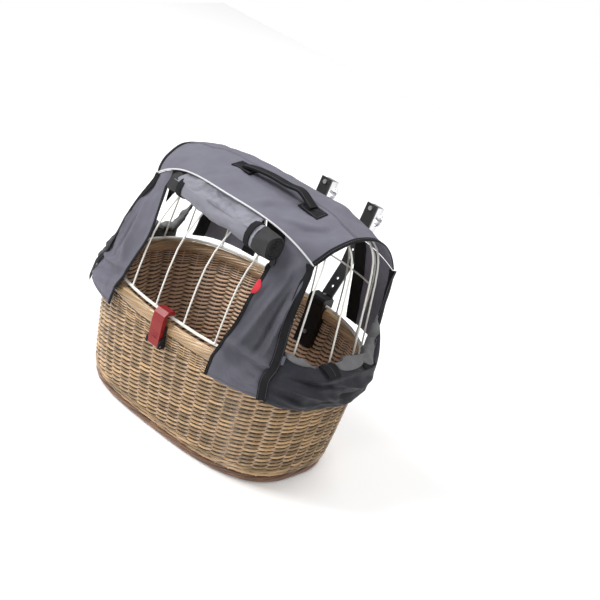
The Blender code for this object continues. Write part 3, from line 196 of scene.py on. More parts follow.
BACK_CREASES = (((0.10, 0.15), (0.85, 0.55), 0.06, 0.0024), ((0.25, 0.55), (0.90, 0.90), 0.06, 0.0020))
FLAP_CREASES = (
    ((0.03, 0.62), (0.60, 0.86), 0.045, 0.0095), ((0.10, 0.50), (0.52, 0.64), 0.036, -0.0080),
    ((0.45, 0.58), (0.97, 0.66), 0.040, 0.0095), ((0.30, 0.90), (0.92, 0.86), 0.036, 0.0065),
    ((0.55, 0.78), (0.95, 0.76), 0.028, -0.0080), ((0.02, 0.80), (0.25, 0.95), 0.036, 0.0060),
)
# Seam across the roof: share across and along it
ROOF_SEAM = ((1.0, 0.36), (0.80, 0.37), (0.55, 0.38), (0.30, 0.385), (0.0, 0.39), (-0.4, 0.385), (-1.0, 0.36))
# Hem of a flap turned in and up: way in and way up at each step
FLAP_CURL = ((0.0012, -0.0012), (0.0034, -0.0012), (0.0050, 0.003), (0.0054, 0.012), (0.0056, 0.024))
# Lining of a flap in four lengths: first and last share along the flap, width, rise
LINING_LENGTHS = (
    (0.01, 0.20, 0.009, 0.004), (0.14, 0.46, 0.006, 0.002), (0.42, 0.80, 0.026, 0.011),
    (0.74, 1.0, 0.030, 0.016),
)
# Dark ends of the window roll, how much longer the right one is, and how far its strap stands from its node
ROLL_END = 0.027
ROLL_RIGHT_SHIFT = 0.010
ROLL_STRAP_SHIFT = 0.010
# Outlines of the small plates, across and up
ZIP_HALF = ((0.000, 0.0022), (0.004, 0.0026), (0.010, 0.0036), (0.018, 0.0056), (0.024, 0.0060),
            (0.028, 0.0040), (0.0295, 0.0006))
ZIP_SLIDER = ((-0.0042, -0.006), (0.0042, -0.006), (0.0034, 0.005), (-0.0034, 0.005))
RED_TAB = ((-0.003, -0.013), (0.001, -0.0145), (0.006, -0.010), (0.0085, -0.003), (0.0085, 0.004),
           (0.006, 0.010), (0.001, 0.0145), (-0.003, 0.013))
GREY_TAB = ((0.004, -0.009), (0.012, -0.008), (0.012, 0.008), (0.004, 0.009))

# Camera, fitted to the photograph
CAMERA_PLACE = (1.57995, -1.98770, 1.42853)
CAMERA_RIGHT = (0.7071777, 0.6573710, 0.2603134)
CAMERA_DOWN = (0.4626266, -0.1517948, -0.8734615)
CAMERA_AHEAD = (-0.5346740, 0.7381204, -0.4114632)
CAMERA_LENS = 89.465
CAMERA_SENSOR = 36.0
# Studio: each light's place, size and power
LIGHTS = {
    "key light": ((-1.8, -1.55, 3.2), 1.6, 142.0),
    "front light": ((0.8, -2.9, 1.35), 1.0, 17.0),
    "top light": ((0.7, 0.9, 3.5), 2.0, 74.0),
}
LIGHTS_AIM = (0.0, 0.0, 0.22)
FLOOR_HALF = 2.2
FLOOR_HEIGHT = -0.0004
FLOOR_GLOW = 0.12
WORLD_LIGHT = 0.36
LABEL = "Dog Basket"

# Looks of the sewn pieces, in the order of their material slots
HOOD_LOOKS = ("hood_cloth", "dark_lining", "black_binding", "grey_thread")
POUCH_LOOKS = ("flap_cloth", "lining_cloth", "grey_thread")
STRAP_LOOKS = ("black_strap", "grey_thread")


# shader expressions
class Value:
    """A shader socket that works in plain expressions; each operator adds its Math node."""

    def __init__(self, recipe, socket):
        self.recipe = recipe
        self.socket = socket

    def combine(self, operation, *values):
        links = dict(enumerate(values))
        return self.recipe.node("ShaderNodeMath", {"operation": operation}, links)

    def __add__(self, other):
        return self.combine("ADD", self, other)

    __radd__ = __add__

    def __mul__(self, other):
        return self.combine("MULTIPLY", self, other)

    __rmul__ = __mul__

    def sine(self):
        return self.combine("SINE", self)

    def ramp(self, low, high):
        """Return 0 below low, 1 above high and a smooth step between them."""
        return self.recipe.node("ShaderNodeMapRange", {"interpolation_type": "SMOOTHSTEP"},
                                {"Value": self, "From Min": low, "From Max": high})


class Recipe:
    """A material under its name, with the nodes of its finish."""

    def __init__(self, name, colour, roughness, **constants):
        self.material = bpy.data.materials.new(name)
        self.material.use_nodes = True
        self.material.diffuse_color = (*colour, 1.0)
        self.tree = self.material.node_tree
        self.shader = self.tree.nodes["Principled BSDF"]
        self.shader.inputs["Base Color"].default_value = (*colour, 1.0)
        self.shader.inputs["Roughness"].default_value = roughness
        for key, value in constants.items():
            self.shader.inputs[key.replace("_", " ").title().replace("Ior", "IOR")].default_value = value

    def node(self, kind, settings=None, links=None, output=0):
        """Add a node: its settings first, then the values or links of its sockets."""
        made = self.tree.nodes.new(kind)
        for key, value in (settings or {}).items():
            if key == "stops":
                ramp = made.color_ramp
                for place, colour in value[1:-1]:
                    ramp.elements.new(place).color = (*colour, 1.0)
                ramp.elements[0].color = (*value[0][1], 1.0)
                ramp.elements[-1].color = (*value[-1][1], 1.0)
            else:
                setattr(made, key, value)
        for key, value in (links or {}).items():
            socket = made.inputs[key]
            if isinstance(value, Value):
                self.tree.links.new(value.socket, socket)
            else:
                socket.default_value = value
        return Value(self, made.outputs[output])

    def reading(self, name):
        """Return a per-point number that the mesh carries."""
        return self.node("ShaderNodeAttribute", {"attribute_name": name}, output="Fac")

    def place(self):
        return self.node("ShaderNodeTexCoord", output="Object")

    def vector(self, x, y, z):
        return self.node("ShaderNodeCombineXYZ", None, {"X": x, "Y": y, "Z": z})

    def clouds(self, scale, detail=3.0, vector=None, roughness=0.5):
        links = {"Vector": vector or self.place(), "Scale": scale, "Detail": detail, "Roughness": roughness}
        return self.node("ShaderNodeTexNoise", None, links, "Fac")

    def colours(self, factor, *stops):
        """Return the colours of a ramp, each stop a place and a colour."""
        return self.node("ShaderNodeValToRGB", {"stops": stops}, {"Fac": factor}, "Color")

    def mixed(self, factor, low, high):
        """Return a mix of two colours, each a socket or three numbers."""
        low, high = [value if isinstance(value, Value) else (*value, 1.0) for value in (low, high)]
        return self.node("ShaderNodeMix", {"data_type": "RGBA"}, {0: factor, 6: low, 7: high}, 2)

    def feed(self, socket, value):
        self.tree.links.new(value.socket, self.shader.inputs[socket])
        return self

    def bump(self, height, distance, strength=1.0):
        links = {"Height": height, "Distance": distance, "Strength": strength}
        return self.feed("Normal", self.node("ShaderNodeBump", None, links, "Normal"))


def scaled(colour, factor):
    return tuple(min(c * factor, 1.0) for c in colour)


def willow_finish(name, colour, inside):
    """Peeled willow: streaks along each rod, its own tone for each rod, and towards the inside a painted
    tint: painted light for the rods and cane, painted shade for the packing rods.
    """
    recipe = Recipe(name, colour, 0.5, coat_weight=0.5, coat_roughness=0.18)
    along, round_it = recipe.reading("along"), recipe.reading("round")
    tone, shade = recipe.reading("tone"), recipe.reading("shade")
    streaks = recipe.clouds(1.0, 4.0, recipe.vector(along * 38.0, round_it * 5.0, tone * 90.0), 0.6)
    patches = recipe.clouds(9.0, 2.0)
    depth = (streaks * 0.55 + tone * 0.45 + patches * 0.35).ramp(0.25, 1.05)
    skin = recipe.colours(depth, (0.0, scaled(colour, 1.55)), (0.45, colour), (1.0, scaled(colour, 0.42)))
    # painted light: the shade reading turns the skin towards the inside tint, paler than the willow for rods
    # and cane, dark for the packing rods (painted shade)
    skin = recipe.mixed(shade, skin, recipe.mixed(0.7, skin, inside))
    recipe.feed("Base Color", skin)
    recipe.feed("Roughness", streaks * 0.25 + 0.28)
    return recipe.bump(streaks, 0.0005, 0.5).material


def cloth_finish(name, colour, roughness, painted_patch_light=0.12, gloss=0.5):
    """Coated polyester: a fine weave along the cloth's own directions, with faint lighter and darker patches
    that are painted light and shade.
    """
    recipe = Recipe(name, colour, roughness, sheen_weight=0.08 * gloss, sheen_roughness=0.5,
                    specular_ior_level=gloss)
    across, along = recipe.reading("round"), recipe.reading("along")
    turn = math.tau / WEAVE_PITCH
    weave = (across * turn).sine() * (along * turn).sine()
    patches = recipe.clouds(14.0, 4.0)
    creases = recipe.clouds(60.0, 3.0)
    # painted light and shade: soft patches and crease-sized spots turn the cloth lighter and darker
    light = (patches * 0.7 + creases * 0.3).ramp(0.3, 0.72)
    skin = recipe.mixed(light, scaled(colour, 1.0 - painted_patch_light), scaled(colour, 1.0 + painted_patch_light))
    skin = recipe.mixed((weave * 0.5 + 0.5) * 0.16, skin, scaled(colour, 0.55))
    # painted shade: the shade reading darkens the cloth towards 0.45 of its colour
    recipe.feed("Base Color", recipe.mixed(recipe.reading("shade"), skin, scaled(colour, 0.45)))
    recipe.feed("Roughness", light * 0.12 + (roughness - 0.06))
    return recipe.bump(weave * 0.25 + creases, 0.0006, 0.6).material


def webbing_finish(name, colour):
    """Woven tape: ribs across its length, crossed by a slanted weave."""
    recipe = Recipe(name, colour, 0.7, specular_ior_level=0.18)
    along, across = recipe.reading("along"), recipe.reading("round")
    ribs = (along * (math.tau / 0.0016)).sine() * 0.5 + 0.5
    chevron = ((across + along) * (math.tau / 0.0022)).sine() * 0.5 + 0.5
    dust = recipe.clouds(40.0, 4.0)
    skin = recipe.mixed(dust.ramp(0.35, 0.8) * 0.5, colour, scaled(colour, 2.4))
    recipe.feed("Base Color", recipe.mixed(ribs * chevron * 0.35, skin, scaled(colour, 0.4)))
    recipe.feed("Roughness", dust * 0.2 + 0.62)
    return recipe.bump(ribs + chevron * 0.5, 0.0003, 0.8).material


def moulded_finish(name, colour, roughness, coat=0.0):
    """Moulded plastic: a fine grain, with patches rubbed a little smoother and lighter."""
    recipe = Recipe(name, colour, roughness, coat_weight=coat, specular_ior_level=0.35)
    grain, wear = recipe.clouds(900.0, 2.0), recipe.clouds(30.0, 4.0)
    recipe.feed("Base Color", recipe.mixed(wear.ramp(0.4, 0.75) * 0.5, colour, scaled(colour, 1.35)))
    recipe.feed("Roughness", wear * 0.18 + (roughness - 0.09))
    return recipe.bump(grain, 0.0001, 0.5).material


def metal_finish(name, colour, roughness, brushed):
    """Bare metal: fine brushing and faint smears."""
    recipe = Recipe(name, colour, roughness, metallic=1.0)
    stretched = recipe.node("ShaderNodeMapping", None,
                            {"Vector": recipe.place(), "Scale": (30.0, 900.0, 900.0)})
    lines, smears = recipe.clouds(1.0, 3.0, stretched), recipe.clouds(45.0, 4.0)
    recipe.feed("Base Color", recipe.mixed(smears.ramp(0.35, 0.8) * 0.4, colour, scaled(colour, 0.7)))
    recipe.feed("Roughness", lines * brushed + smears * 0.15 + (roughness - 0.08))
    return recipe.bump(lines, 0.00005, brushed + 0.1).material


def coated_finish(name, colour, roughness):
    """Dipped or powder-coated steel: a slightly wavy coat with dust and a few scuffs."""
    recipe = Recipe(name, colour, roughness, coat_weight=0.3, coat_roughness=0.25)
    waves, dust = recipe.clouds(160.0, 2.0), recipe.clouds(55.0, 5.0)
    recipe.feed("Base Color", recipe.mixed(dust.ramp(0.5, 0.85) * 0.6, colour, scaled(colour, 0.72)))
    recipe.feed("Roughness", dust * 0.2 + (roughness - 0.08))
    return recipe.bump(waves, 0.0002, 0.4).material


def finishes():
    """Return a function that gives each of the basket's finishes by name and makes it once."""
    look = bpy.context.scene.basket_colours
    known = bpy.data.materials
    makers = {
        # willow and cane take the pale inside tint by their shade reading: painted light inside the basket
        "willow_rods": (willow_finish, look.willow, look.willow_inside_painted_light),
        # packing rods: a dark copy of the willow, painted shade in the gaps between the rows
        "packing_rods": (willow_finish, scaled(look.willow, 0.36), scaled(look.willow_inside_painted_light, 0.12)),
        "brown_cane": (willow_finish, look.cane, look.willow_inside_painted_light),
        "white_coat": (coated_finish, look.wire, 0.35),
        "powder_black": (coated_finish, look.arm, 0.42),
        "moulded_black": (moulded_finish, look.black, 0.5),
        "moulded_red": (moulded_finish, look.lever, 0.45, 0.1),
        "zinc_steel": (metal_finish, (0.55, 0.55, 0.56), 0.36, 0.15),
        "cast_alloy": (metal_finish, (0.80, 0.80, 0.82), 0.26, 0.1),
        "hood_cloth": (cloth_finish, look.hood, 0.78),
        "flap_cloth": (cloth_finish, look.flap, 0.55, 0.25, 0.35),
        "lining_cloth": (cloth_finish, look.lining, 0.8),
        # the hood's inner face: the hood cloth made 1.7 times lighter, painted light where the lamps barely
        # reach
        "dark_lining": (cloth_finish, scaled(look.hood, 1.7), 0.75),
        "roll_end": (cloth_finish, scaled(look.black, 1.6), 0.7),
        "roll_cloth": (cloth_finish, look.roll, 0.5, 0.08),
        "piping_cord": (cloth_finish, look.piping, 0.4, 0.05),
        "black_binding": (webbing_finish, look.black),
        "black_strap": (webbing_finish, scaled(look.black, 1.2)),
        "red_tape": (webbing_finish, look.tag),
        "grey_thread": (cloth_finish, scaled(look.hood, 0.8), 0.8),
    }

    def get(name):
        maker, *values = makers[name]
        return known.get(name) or maker(name, *values)
    return get


# shapes shared with the part
def eased(table, key, column):
    """Return a column of a table of shares, smoothly between its rows."""
    if key <= table[0][0]:
        return table[0][column]
    if key >= table[-1][0]:
        return table[-1][column]
    i = max(k for k in range(len(table) - 1) if table[k][0] <= key)
    before, low = table[max(i - 1, 0)], table[i]
    high, after = table[i + 1], table[min(i + 2, len(table) - 1)]
    step = high[0] - low[0]
    t = (key - low[0]) / step
    slope_low = (high[column] - before[column]) / (high[0] - before[0]) * step
    slope_high = (after[column] - low[column]) / (after[0] - low[0]) * step
    return ((2.0 * t ** 3 - 3.0 * t ** 2 + 1.0) * low[column] + (t ** 3 - 2.0 * t ** 2 + t) * slope_low
            + (3.0 * t ** 2 - 2.0 * t ** 3) * high[column] + (t ** 3 - t ** 2) * slope_high)


def oval(half_x, half_y, exponent, turn):
    """Return x and y of a rounded oval at a turn from +X."""
    c, s = math.cos(turn), math.sin(turn)
    return (half_x * math.copysign(abs(c) ** (2.0 / exponent), c),
            half_y * math.copysign(abs(s) ** (2.0 / exponent), s))


def oval_depth(x, half_x, half_y, exponent):
    return half_y * max(1.0 - abs(x / half_x) ** exponent, 0.0) ** (1.0 / exponent)


def turn_at_x(x, half_x, exponent):
    return math.acos(min(abs(x / half_x), 1.0) ** (exponent / 2.0))


def slouched(points):
    """Return points of the lid moved in and down where they stand high on the left side."""
    points = np.array(points, dtype=float)
    height = np.maximum(points[..., 2] - RAIL_HEIGHT, 0.0) / HOOD_HEIGHT
    side = np.maximum(-points[..., 0] / RAIL_HALF_X, 0.0)
    points[..., 0] *= 1.0 - LEFT_TUCK_SHARE * height * side
    points[..., 2] -= LEFT_DROP_SHARE * HOOD_HEIGHT * height * side * side
    return points


ROOF_ROWS = [(k / (len(ROOF_SHARES) - 1),) + row for k, row in enumerate(ROOF_SHARES)]


def roof_point(across, along):
    """Return a point on the roof; across runs from -1 to 1, along from the front edge to the back."""
    mid_y, mid_z, edge_x, edge_y, edge_z = [eased(ROOF_ROWS, along, k) for k in range(1, 6)]
    sweep = ROOF_FRONT_SWEEP_SHARE + (ROOF_BACK_SWEEP_SHARE - ROOF_FRONT_SWEEP_SHARE) * along
    y = (mid_y + (edge_y - mid_y) * abs(across) ** sweep) * RAIL_HALF_Y
    z = (mid_z + (edge_z - mid_z) * abs(across) ** ROOF_CROWN_SHARE) * HOOD_HEIGHT
    return Vector((edge_x * across * RAIL_HALF_X, y, RAIL_HEIGHT + z))


def roof_place(x, y):
    """Return the share across and along the roof above a place in the plan."""
    low, high = 0.0, 1.0
    for _ in range(24):
        middle = (low + high) / 2.0
        width = roof_point(1.0, middle).x
        if roof_point(x / width, middle).y < y:
            low = middle
        else:
            high = middle
    return x / roof_point(1.0, low).x, low


def roof_at(x, y):
    return roof_point(*roof_place(x, y))


def roof_edge(x, along):
    """Return the roof's front or back edge at an x."""
    width = roof_point(1.0, along).x
    return roof_point(min(abs(x) / width, 1.0), along)


def corner_grid(side, front, rows, columns, lap=0.0022):
    """Return the outside of a front or back corner panel, from its hem to the roof."""
    label = "left" if side < 0.0 else "right"
    wider, middle, reach = PANEL_BULGE_SHARES[label] if front else (0.0, 0.5, 1.0)
    base = PANEL_WIDER_SHARES[label] if front else 0.0
    table = FRONT_CORNER_SHARES if front else BACK_CORNER_SHARES
    exponent = HOOD_EXPONENT if front else HOOD_BACK_EXPONENT
    hem = table[0][0] * HOOD_HEIGHT
    along = 0.0 if front else 1.0
    grid = np.empty((rows + 1, columns + 1, 3))
    for i in range(rows + 1):
        for j in range(columns + 1):
            top = roof_edge(table[-1][1] * RAIL_HALF_X, along).z - RAIL_HEIGHT
            height = hem + (top - hem) * i / rows
            for _ in range(3):  # the roof's edge above depends on x, and x on the height
                share = height / HOOD_HEIGHT
                half_x = eased(HOOD_SHARES, share, 1) * RAIL_HALF_X
                half_y = eased(HOOD_SHARES, share, 2 if front else 3) * RAIL_HALF_Y
                if not front:
                    half_x *= 1.0 - BACK_TUCK_SHARE * max(1.0 - share / 0.6, 0.0)
                share = min(share, table[-1][0])
                bulge = base + wider * math.exp(-((share - middle) / reach) ** 2)
                to_window = turn_at_x((eased(table, share, 1) - bulge) * RAIL_HALF_X, half_x, exponent)
                if front:
                    to_side = turn_at_x(eased(table, share, 2) * RAIL_HALF_X, half_x, exponent)
                else:
                    edge_y = eased(table, share, 2) * RAIL_HALF_Y
                    to_side = math.asin(min(edge_y / half_y, 1.0) ** (exponent / 2.0))
                x, y = oval(half_x, half_y, exponent, to_window + (to_side - to_window) * j / columns)
                top = roof_edge(x, along).z - RAIL_HEIGHT - lap
                height = hem + (top - hem) * i / rows
            meet = abs(roof_edge(x, along).y) - 0.00125
            y += (meet - y) * (i / rows) ** 4
            grid[i, j] = (side * x, -y if front else y, RAIL_HEIGHT + height)
    return grid


def wall_middle(height):
    """Return half width, half depth and exponent of the middle of the willow wall at a height."""
    low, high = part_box("basket_wall")[0][2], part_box("basket_wall")[1][2]
    share = eased(WALL_SHARES, min(max((height - low) / (high - low), 0.0), 1.0), 1)
    foot, rim = (FOOT_BORDER_W - WALL) / 2.0, (RIM_BORDER_W - WALL) / 2.0 - 0.001
    return (FOOT_HALF_X + foot + (RIM_HALF_X + rim - FOOT_HALF_X - foot) * share,
            FOOT_HALF_Y + foot + (RIM_HALF_Y + rim - FOOT_HALF_Y - foot) * share,
            FOOT_EXPONENT + (RAIL_EXPONENT - FOOT_EXPONENT) * share)


# mesh making
UP = np.array([0.0, 0.0, 1.0])


def placed(name, data):
    """Return a new object for some data, linked to the scene."""
    made = bpy.data.objects.new(name, data)
    bpy.context.collection.objects.link(made)
    return made


def unit(vectors):
    return vectors / np.maximum(np.linalg.norm(vectors, axis=-1, keepdims=True), 1e-12)


def run_along(path):
    """Return how far along a path each of its points is."""
    return np.concatenate([[0.0], np.cumsum(np.linalg.norm(np.diff(path, axis=0), axis=1))])


def headings(path, closed):
    """Return the way that a path heads at each of its points."""
    ahead = np.roll(path, -1, axis=0) - np.roll(path, 1, axis=0)
    if not closed:
        ahead[0], ahead[-1] = path[1] - path[0], path[-1] - path[-2]
    return unit(ahead)


def even_plan(half_x, half_y, exponent, count):
    """Return evenly spaced points round an oval in the plan, and its outward normals."""
    dense = np.array([oval(half_x, half_y, exponent, turn) for turn in np.linspace(0.0, math.tau, 721)])
    run = run_along(dense)
    spots = np.linspace(0.0, run[-1], count, endpoint=False)
    plan = np.stack([np.interp(spots, run, dense[:, k]) for k in range(2)], axis=1)
    ahead = headings(plan, True)
    return plan, np.stack([ahead[:, 1], -ahead[:, 0]], axis=1)


class Heap:
    """Points, faces and per-point readings of one piece, gathered from strips and sheets."""

    def __init__(self):
        self.points, self.faces, self.looks = [], [], []
        self.readings = {"along": [], "round": [], "tone": [], "shade": []}
        self.count = 0

    def add_grid(self, grid, around=False, onward=False, look=0, flip=False, **readings):
        """Add a grid of points; it may close on itself around its columns or along its rows."""
        rows, columns = grid.shape[:2]
        index = self.count + np.arange(rows * columns).reshape(rows, columns)
        if around:
            index = np.concatenate([index, index[:, :1]], axis=1)
        if onward:
            index = np.concatenate([index, index[:1]], axis=0)
        quads = np.stack([index[:-1, :-1], index[:-1, 1:], index[1:, 1:], index[1:, :-1]], axis=-1)
        quads = quads.reshape(-1, 4)
        if flip:
            quads = quads[:, ::-1]
        self.faces += quads.tolist()
        self.looks += [look] * len(quads)
        self.points.append(grid.reshape(-1, 3))
        for name, kept in self.readings.items():
            value = readings.get(name, 0.0)
            kept.append(np.broadcast_to(np.asarray(value, dtype=float), (rows, columns)).reshape(-1))
        self.count += rows * columns
        return index

    def add_lid(self, ring, look=0, flip=False):
        """Close a ring of points with one face."""
        ring = [int(k) for k in ring]
        self.faces.append(ring[::-1] if flip else ring)
        self.looks.append(look)

    def add_ends(self, index, look=0, flip=False):
        """Close the first and the last ring of a grid."""
        self.add_lid(index[0, :-1], look, flip=not flip)
        self.add_lid(index[-1, :-1], look, flip=flip)

    def add_rod(self, path, radius, sides=6, closed=False, tone=0.5, shade=0.0, start=0.0, squash=1.0,
                up=UP, look=0, taper=None):
        """Add a rod of willow, wire or thread along a path; squash flattens it towards up."""
        path = np.asarray(path, dtype=float)
        ahead = headings(path, closed)
        beside = unit(np.cross(ahead, np.broadcast_to(np.asarray(up, dtype=float), ahead.shape)))
        over = np.cross(beside, ahead)
        turns = math.tau * np.arange(sides) / sides
        size = np.full(len(path), radius) if taper is None else radius * np.asarray(taper)
        section = beside[:, None] * np.cos(turns)[None, :, None]
        section = section + over[:, None] * (np.sin(turns) * squash)[None, :, None]
        grid = path[:, None] + section * size[:, None, None]
        run = start + run_along(path)
        shade = np.asarray(shade, dtype=float)
        if shade.ndim == 1:
            shade = shade[:, None]
        index = self.add_grid(grid, around=True, onward=closed, look=look, along=run[:, None],
                              round=(turns / math.tau)[None, :], tone=tone, shade=shade)
        if not closed:
            self.add_ends(index, look)

    def add_sheet(self, grid, thickness, away, look=0, back=None, shade=0.0):
        """Add a sheet of cloth with thickness; away is a point that its outside faces away from."""
        rows, columns = grid.shape[:2]
        normals = grid_normals(grid, away)
        under = grid - normals * thickness
        across = np.cumsum(np.linalg.norm(np.diff(grid, axis=1, prepend=grid[:, :1]), axis=2), axis=1)
        along = np.cumsum(np.linalg.norm(np.diff(grid, axis=0, prepend=grid[:1]), axis=2), axis=0)
        first = np.cross(grid[0, 1] - grid[0, 0], grid[1, 0] - grid[0, 0])
        flip = bool(np.dot(first, normals[0, 0]) < 0.0)
        top = self.add_grid(grid, look=look, flip=flip, along=along, round=across, tone=0.5, shade=shade)
        # the underside gets painted shade: shade reading 0.35
        below = self.add_grid(under, look=look if back is None else back, flip=not flip, along=along,
                              round=across, tone=0.5, shade=0.35)
        rim = [(0, j) for j in range(columns)] + [(i, columns - 1) for i in range(1, rows)]
        rim += [(rows - 1, j) for j in range(columns - 2, -1, -1)] + [(i, 0) for i in range(rows - 2, 0, -1)]
        for (i, j), (k, m) in zip(rim, rim[1:] + rim[:1]):
            face = [int(top[i, j]), int(below[i, j]), int(below[k, m]), int(top[k, m])]
            self.faces.append(face[::-1] if flip else face)
            self.looks.append(look)

    def add_plate(self, outline, origin, across, up, out, thickness, look=0):
        """Add a flat plate with rounded edges from its outline across and up from an origin."""
        flat = np.array(outline, dtype=float)
        middle = flat.mean(axis=0)
        rings = []
        for lift, size in ((0.0, 0.9), (0.25, 1.0), (0.75, 1.0), (1.0, 0.9)):
            spots = middle + (flat - middle) * size
            rings.append(origin + spots[:, :1] * across + spots[:, 1:] * up + out * (thickness * lift))
        grid = np.array(rings)
        turn = np.cross(grid[0, 1] - grid[0, 0], grid[1, 0] - grid[0, 0])
        inward = bool(np.dot(turn, grid[0, 0] - grid[0].mean(axis=0)) < 0.0)
        index = self.add_grid(grid, around=True, look=look, flip=inward, along=flat[None, :, 1],
                              round=flat[None, :, 0], tone=0.5)
        self.add_ends(index, look, inward)

    def add_tape(self, path, normals, width, thickness, look=0, closed=False):
        """Add a flat woven tape along a path; normals point out of its face."""
        path, normals = np.asarray(path, dtype=float), unit(np.asarray(normals, dtype=float))
        ahead = headings(path, closed)
        beside = unit(np.cross(ahead, normals))
        over = np.cross(beside, ahead)
        half, rise = width / 2.0, thickness / 2.0
        flat = np.array([(-half, -rise * 0.5), (-half * 0.9, -rise), (half * 0.9, -rise), (half, -rise * 0.5),
                         (half, rise * 0.5), (half * 0.9, rise), (0.0, rise * 1.25), (-half * 0.9, rise),
                         (-half, rise * 0.5)])
        grid = path[:, None] + beside[:, None] * flat[None, :, :1] + over[:, None] * flat[None, :, 1:]
        index = self.add_grid(grid, around=True, onward=closed, look=look, along=run_along(path)[:, None],
                              round=flat[None, :, 0], tone=0.5)
        if not closed:
            self.add_ends(index, look)

    def add_stitches(self, path, normals, pitch=0.0042, length=0.0029, look=0):
        """Add a line of thread stitches along a path."""
        path, normals = np.asarray(path, dtype=float), unit(np.asarray(normals, dtype=float))
        run = run_along(path)
        for start in np.arange(pitch, run[-1] - pitch, pitch):
            spots = [[np.interp(s, run, path[:, k]) for k in range(3)] for s in (start, start + length)]
            up = np.array([np.interp(start, run, normals[:, k]) for k in range(3)])
            low, high = np.array(spots[0]) + up * THREAD_LIFT, np.array(spots[1]) + up * THREAD_LIFT
            middle = (low + high) / 2.0 + up * THREAD_R
            self.add_rod([low - up * THREAD_R, middle, high - up * THREAD_R], THREAD_R, 5, up=up, look=look)

    def build(self, name, looks, body, slot, *nodes, slouch=False, angle=50.0):
        """Make the piece, ride it on its body and hide the nodes that it stands for."""
        points = np.concatenate(self.points)
        if slouch:
            points = slouched(points)
        mesh = bpy.data.meshes.new(name)
        mesh.from_pydata(points.tolist(), [], self.faces)
        for key, kept in self.readings.items():
            mesh.attributes.new(key, "FLOAT", "POINT").data.foreach_set("value", np.concatenate(kept))
        get = finishes()
        for look in looks:
            mesh.materials.append(get(look))
        mesh.polygons.foreach_set("material_index", self.looks)
        mesh.update()
        mesh.shade_smooth()
        mesh.set_sharp_from_angle(angle=math.radians(angle))
        piece = placed(name, mesh)
        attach(piece, body)
        if nodes:
            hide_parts(*nodes)
        return piece


def grid_normals(grid, away):
    """Return a grid's normals, turned to face away from a point."""
    across = np.gradient(grid, axis=1)
    along = np.gradient(grid, axis=0)
    normals = unit(np.cross(across, along))
    outward = grid - np.asarray(away, dtype=float)
    signs = np.sign(np.sum(normals * outward, axis=-1, keepdims=True))
    signs[signs == 0.0] = 1.0
    return normals * signs


def flat_size(grid):
    """Return the width, the length and the area that a sheet was cut to."""
    width = np.linalg.norm(np.diff(grid, axis=1), axis=2).sum(axis=1).max()
    length = np.linalg.norm(np.diff(grid, axis=0), axis=2).sum(axis=0).max()
    a, b = grid[1:, 1:] - grid[:-1, :-1], grid[1:, :-1] - grid[:-1, 1:]
    area = 0.5 * np.linalg.norm(np.cross(a, b), axis=2).sum()
    return (float(width), float(length)), float(min(area, width * length))


def pushed(grid, away, amount):
    """Return a grid moved along its normals by an amount for each point."""
    return grid + grid_normals(grid, away) * np.asarray(amount)[..., None]


def creased(shape, creases):
    """Return a grid of pushes from folds, each a start, an end, a width and a height in shares."""
    rows, columns = shape
    v, u = np.meshgrid(np.linspace(0.0, 1.0, rows), np.linspace(0.0, 1.0, columns), indexing="ij")
    total = np.zeros(shape)
    for (u0, v0), (u1, v1), width, height in creases:
        run = np.array([u1 - u0, v1 - v0])
        share = np.clip(((u - u0) * run[0] + (v - v0) * run[1]) / (run @ run), 0.0, 1.0)
        away = np.hypot(u - u0 - share * run[0], v - v0 - share * run[1])
        total += height * np.exp(-(away / width) ** 2) * np.sin(math.pi * (0.15 + 0.7 * share))
    return total


def wrinkled(grid, ripples, seed, creases=()):
    """Return a push for each point of a grid, from soft uneven ripples and from creases."""
    total = np.zeros(grid.shape[:2])
    for place, (size, height) in enumerate(ripples, seed):
        shift = Vector((place * 7.3, place * 3.1, place * 5.7))
        flat = [noise.noise(Vector(point) / size + shift) for point in grid.reshape(-1, 3)]
        total += np.array(flat).reshape(total.shape) * height
    return total + creased(total.shape, creases)


# willow basket
def wall_ring(height, count):
    """Return the plan of the wall's middle at a height, evenly spaced, and its outward normals."""
    return even_plan(*wall_middle(height), count)


def weave_row(heap, rng, height, pitch, sizes, rods, radius, first):
    """Weave one row: each rod runs before all but one stake of its turn, rises, and drops back behind it."""
    count = sizes.stakes * ROW_STEPS
    plan, normals = wall_ring(height, count)
    shares = np.arange(count) / ROW_STEPS
    hidden = 1.0 / rods
    for rod in range(rods):
        turn = ((shares + rod + first) % rods) / rods
        front = np.clip((turn - hidden) / (1.0 - hidden), 0.0, 1.0)
        behind = np.clip(turn / hidden, 0.0, 1.0)
        in_front = turn >= hidden
        reach = radius + sizes.stake_radius * 0.8
        out = np.where(in_front, np.sin(math.pi * front) ** 0.5, -np.sin(math.pi * behind) ** 0.5) * reach
        climb = -0.28 + 0.56 * front ** 0.85
        drop = np.interp(behind, (0.0, 0.3, 0.6, 1.0), (0.28, -0.02, -0.22, -0.28))
        lift = pitch * np.where(in_front, climb, drop)
        turns = np.floor((shares + rod + first) / rods).astype(int)
        tones, thick, wander = [
            np.array([rng.uniform(least, most) for _ in range(turns.max() + 1)])[turns]
            for least, most in ((0.0, 1.0), (0.90, 1.08), (-0.0004, 0.0004))]
        # the runs behind the stakes get shade reading 1, which turns them to the pale inside tint: painted
        # light inside the basket
        thick, shade = [(values + np.roll(values, 1) + np.roll(values, -1)) / 3.0
                        for values in (thick, np.where(in_front, 0.0, 1.0))]
        path = np.column_stack([plan + normals * out[:, None], height + lift + wander])
        heap.add_rod(path, radius, 6, closed=True, tone=tones[:, None], shade=shade, taper=thick,
                     start=rng.uniform(0.0, 9.0))


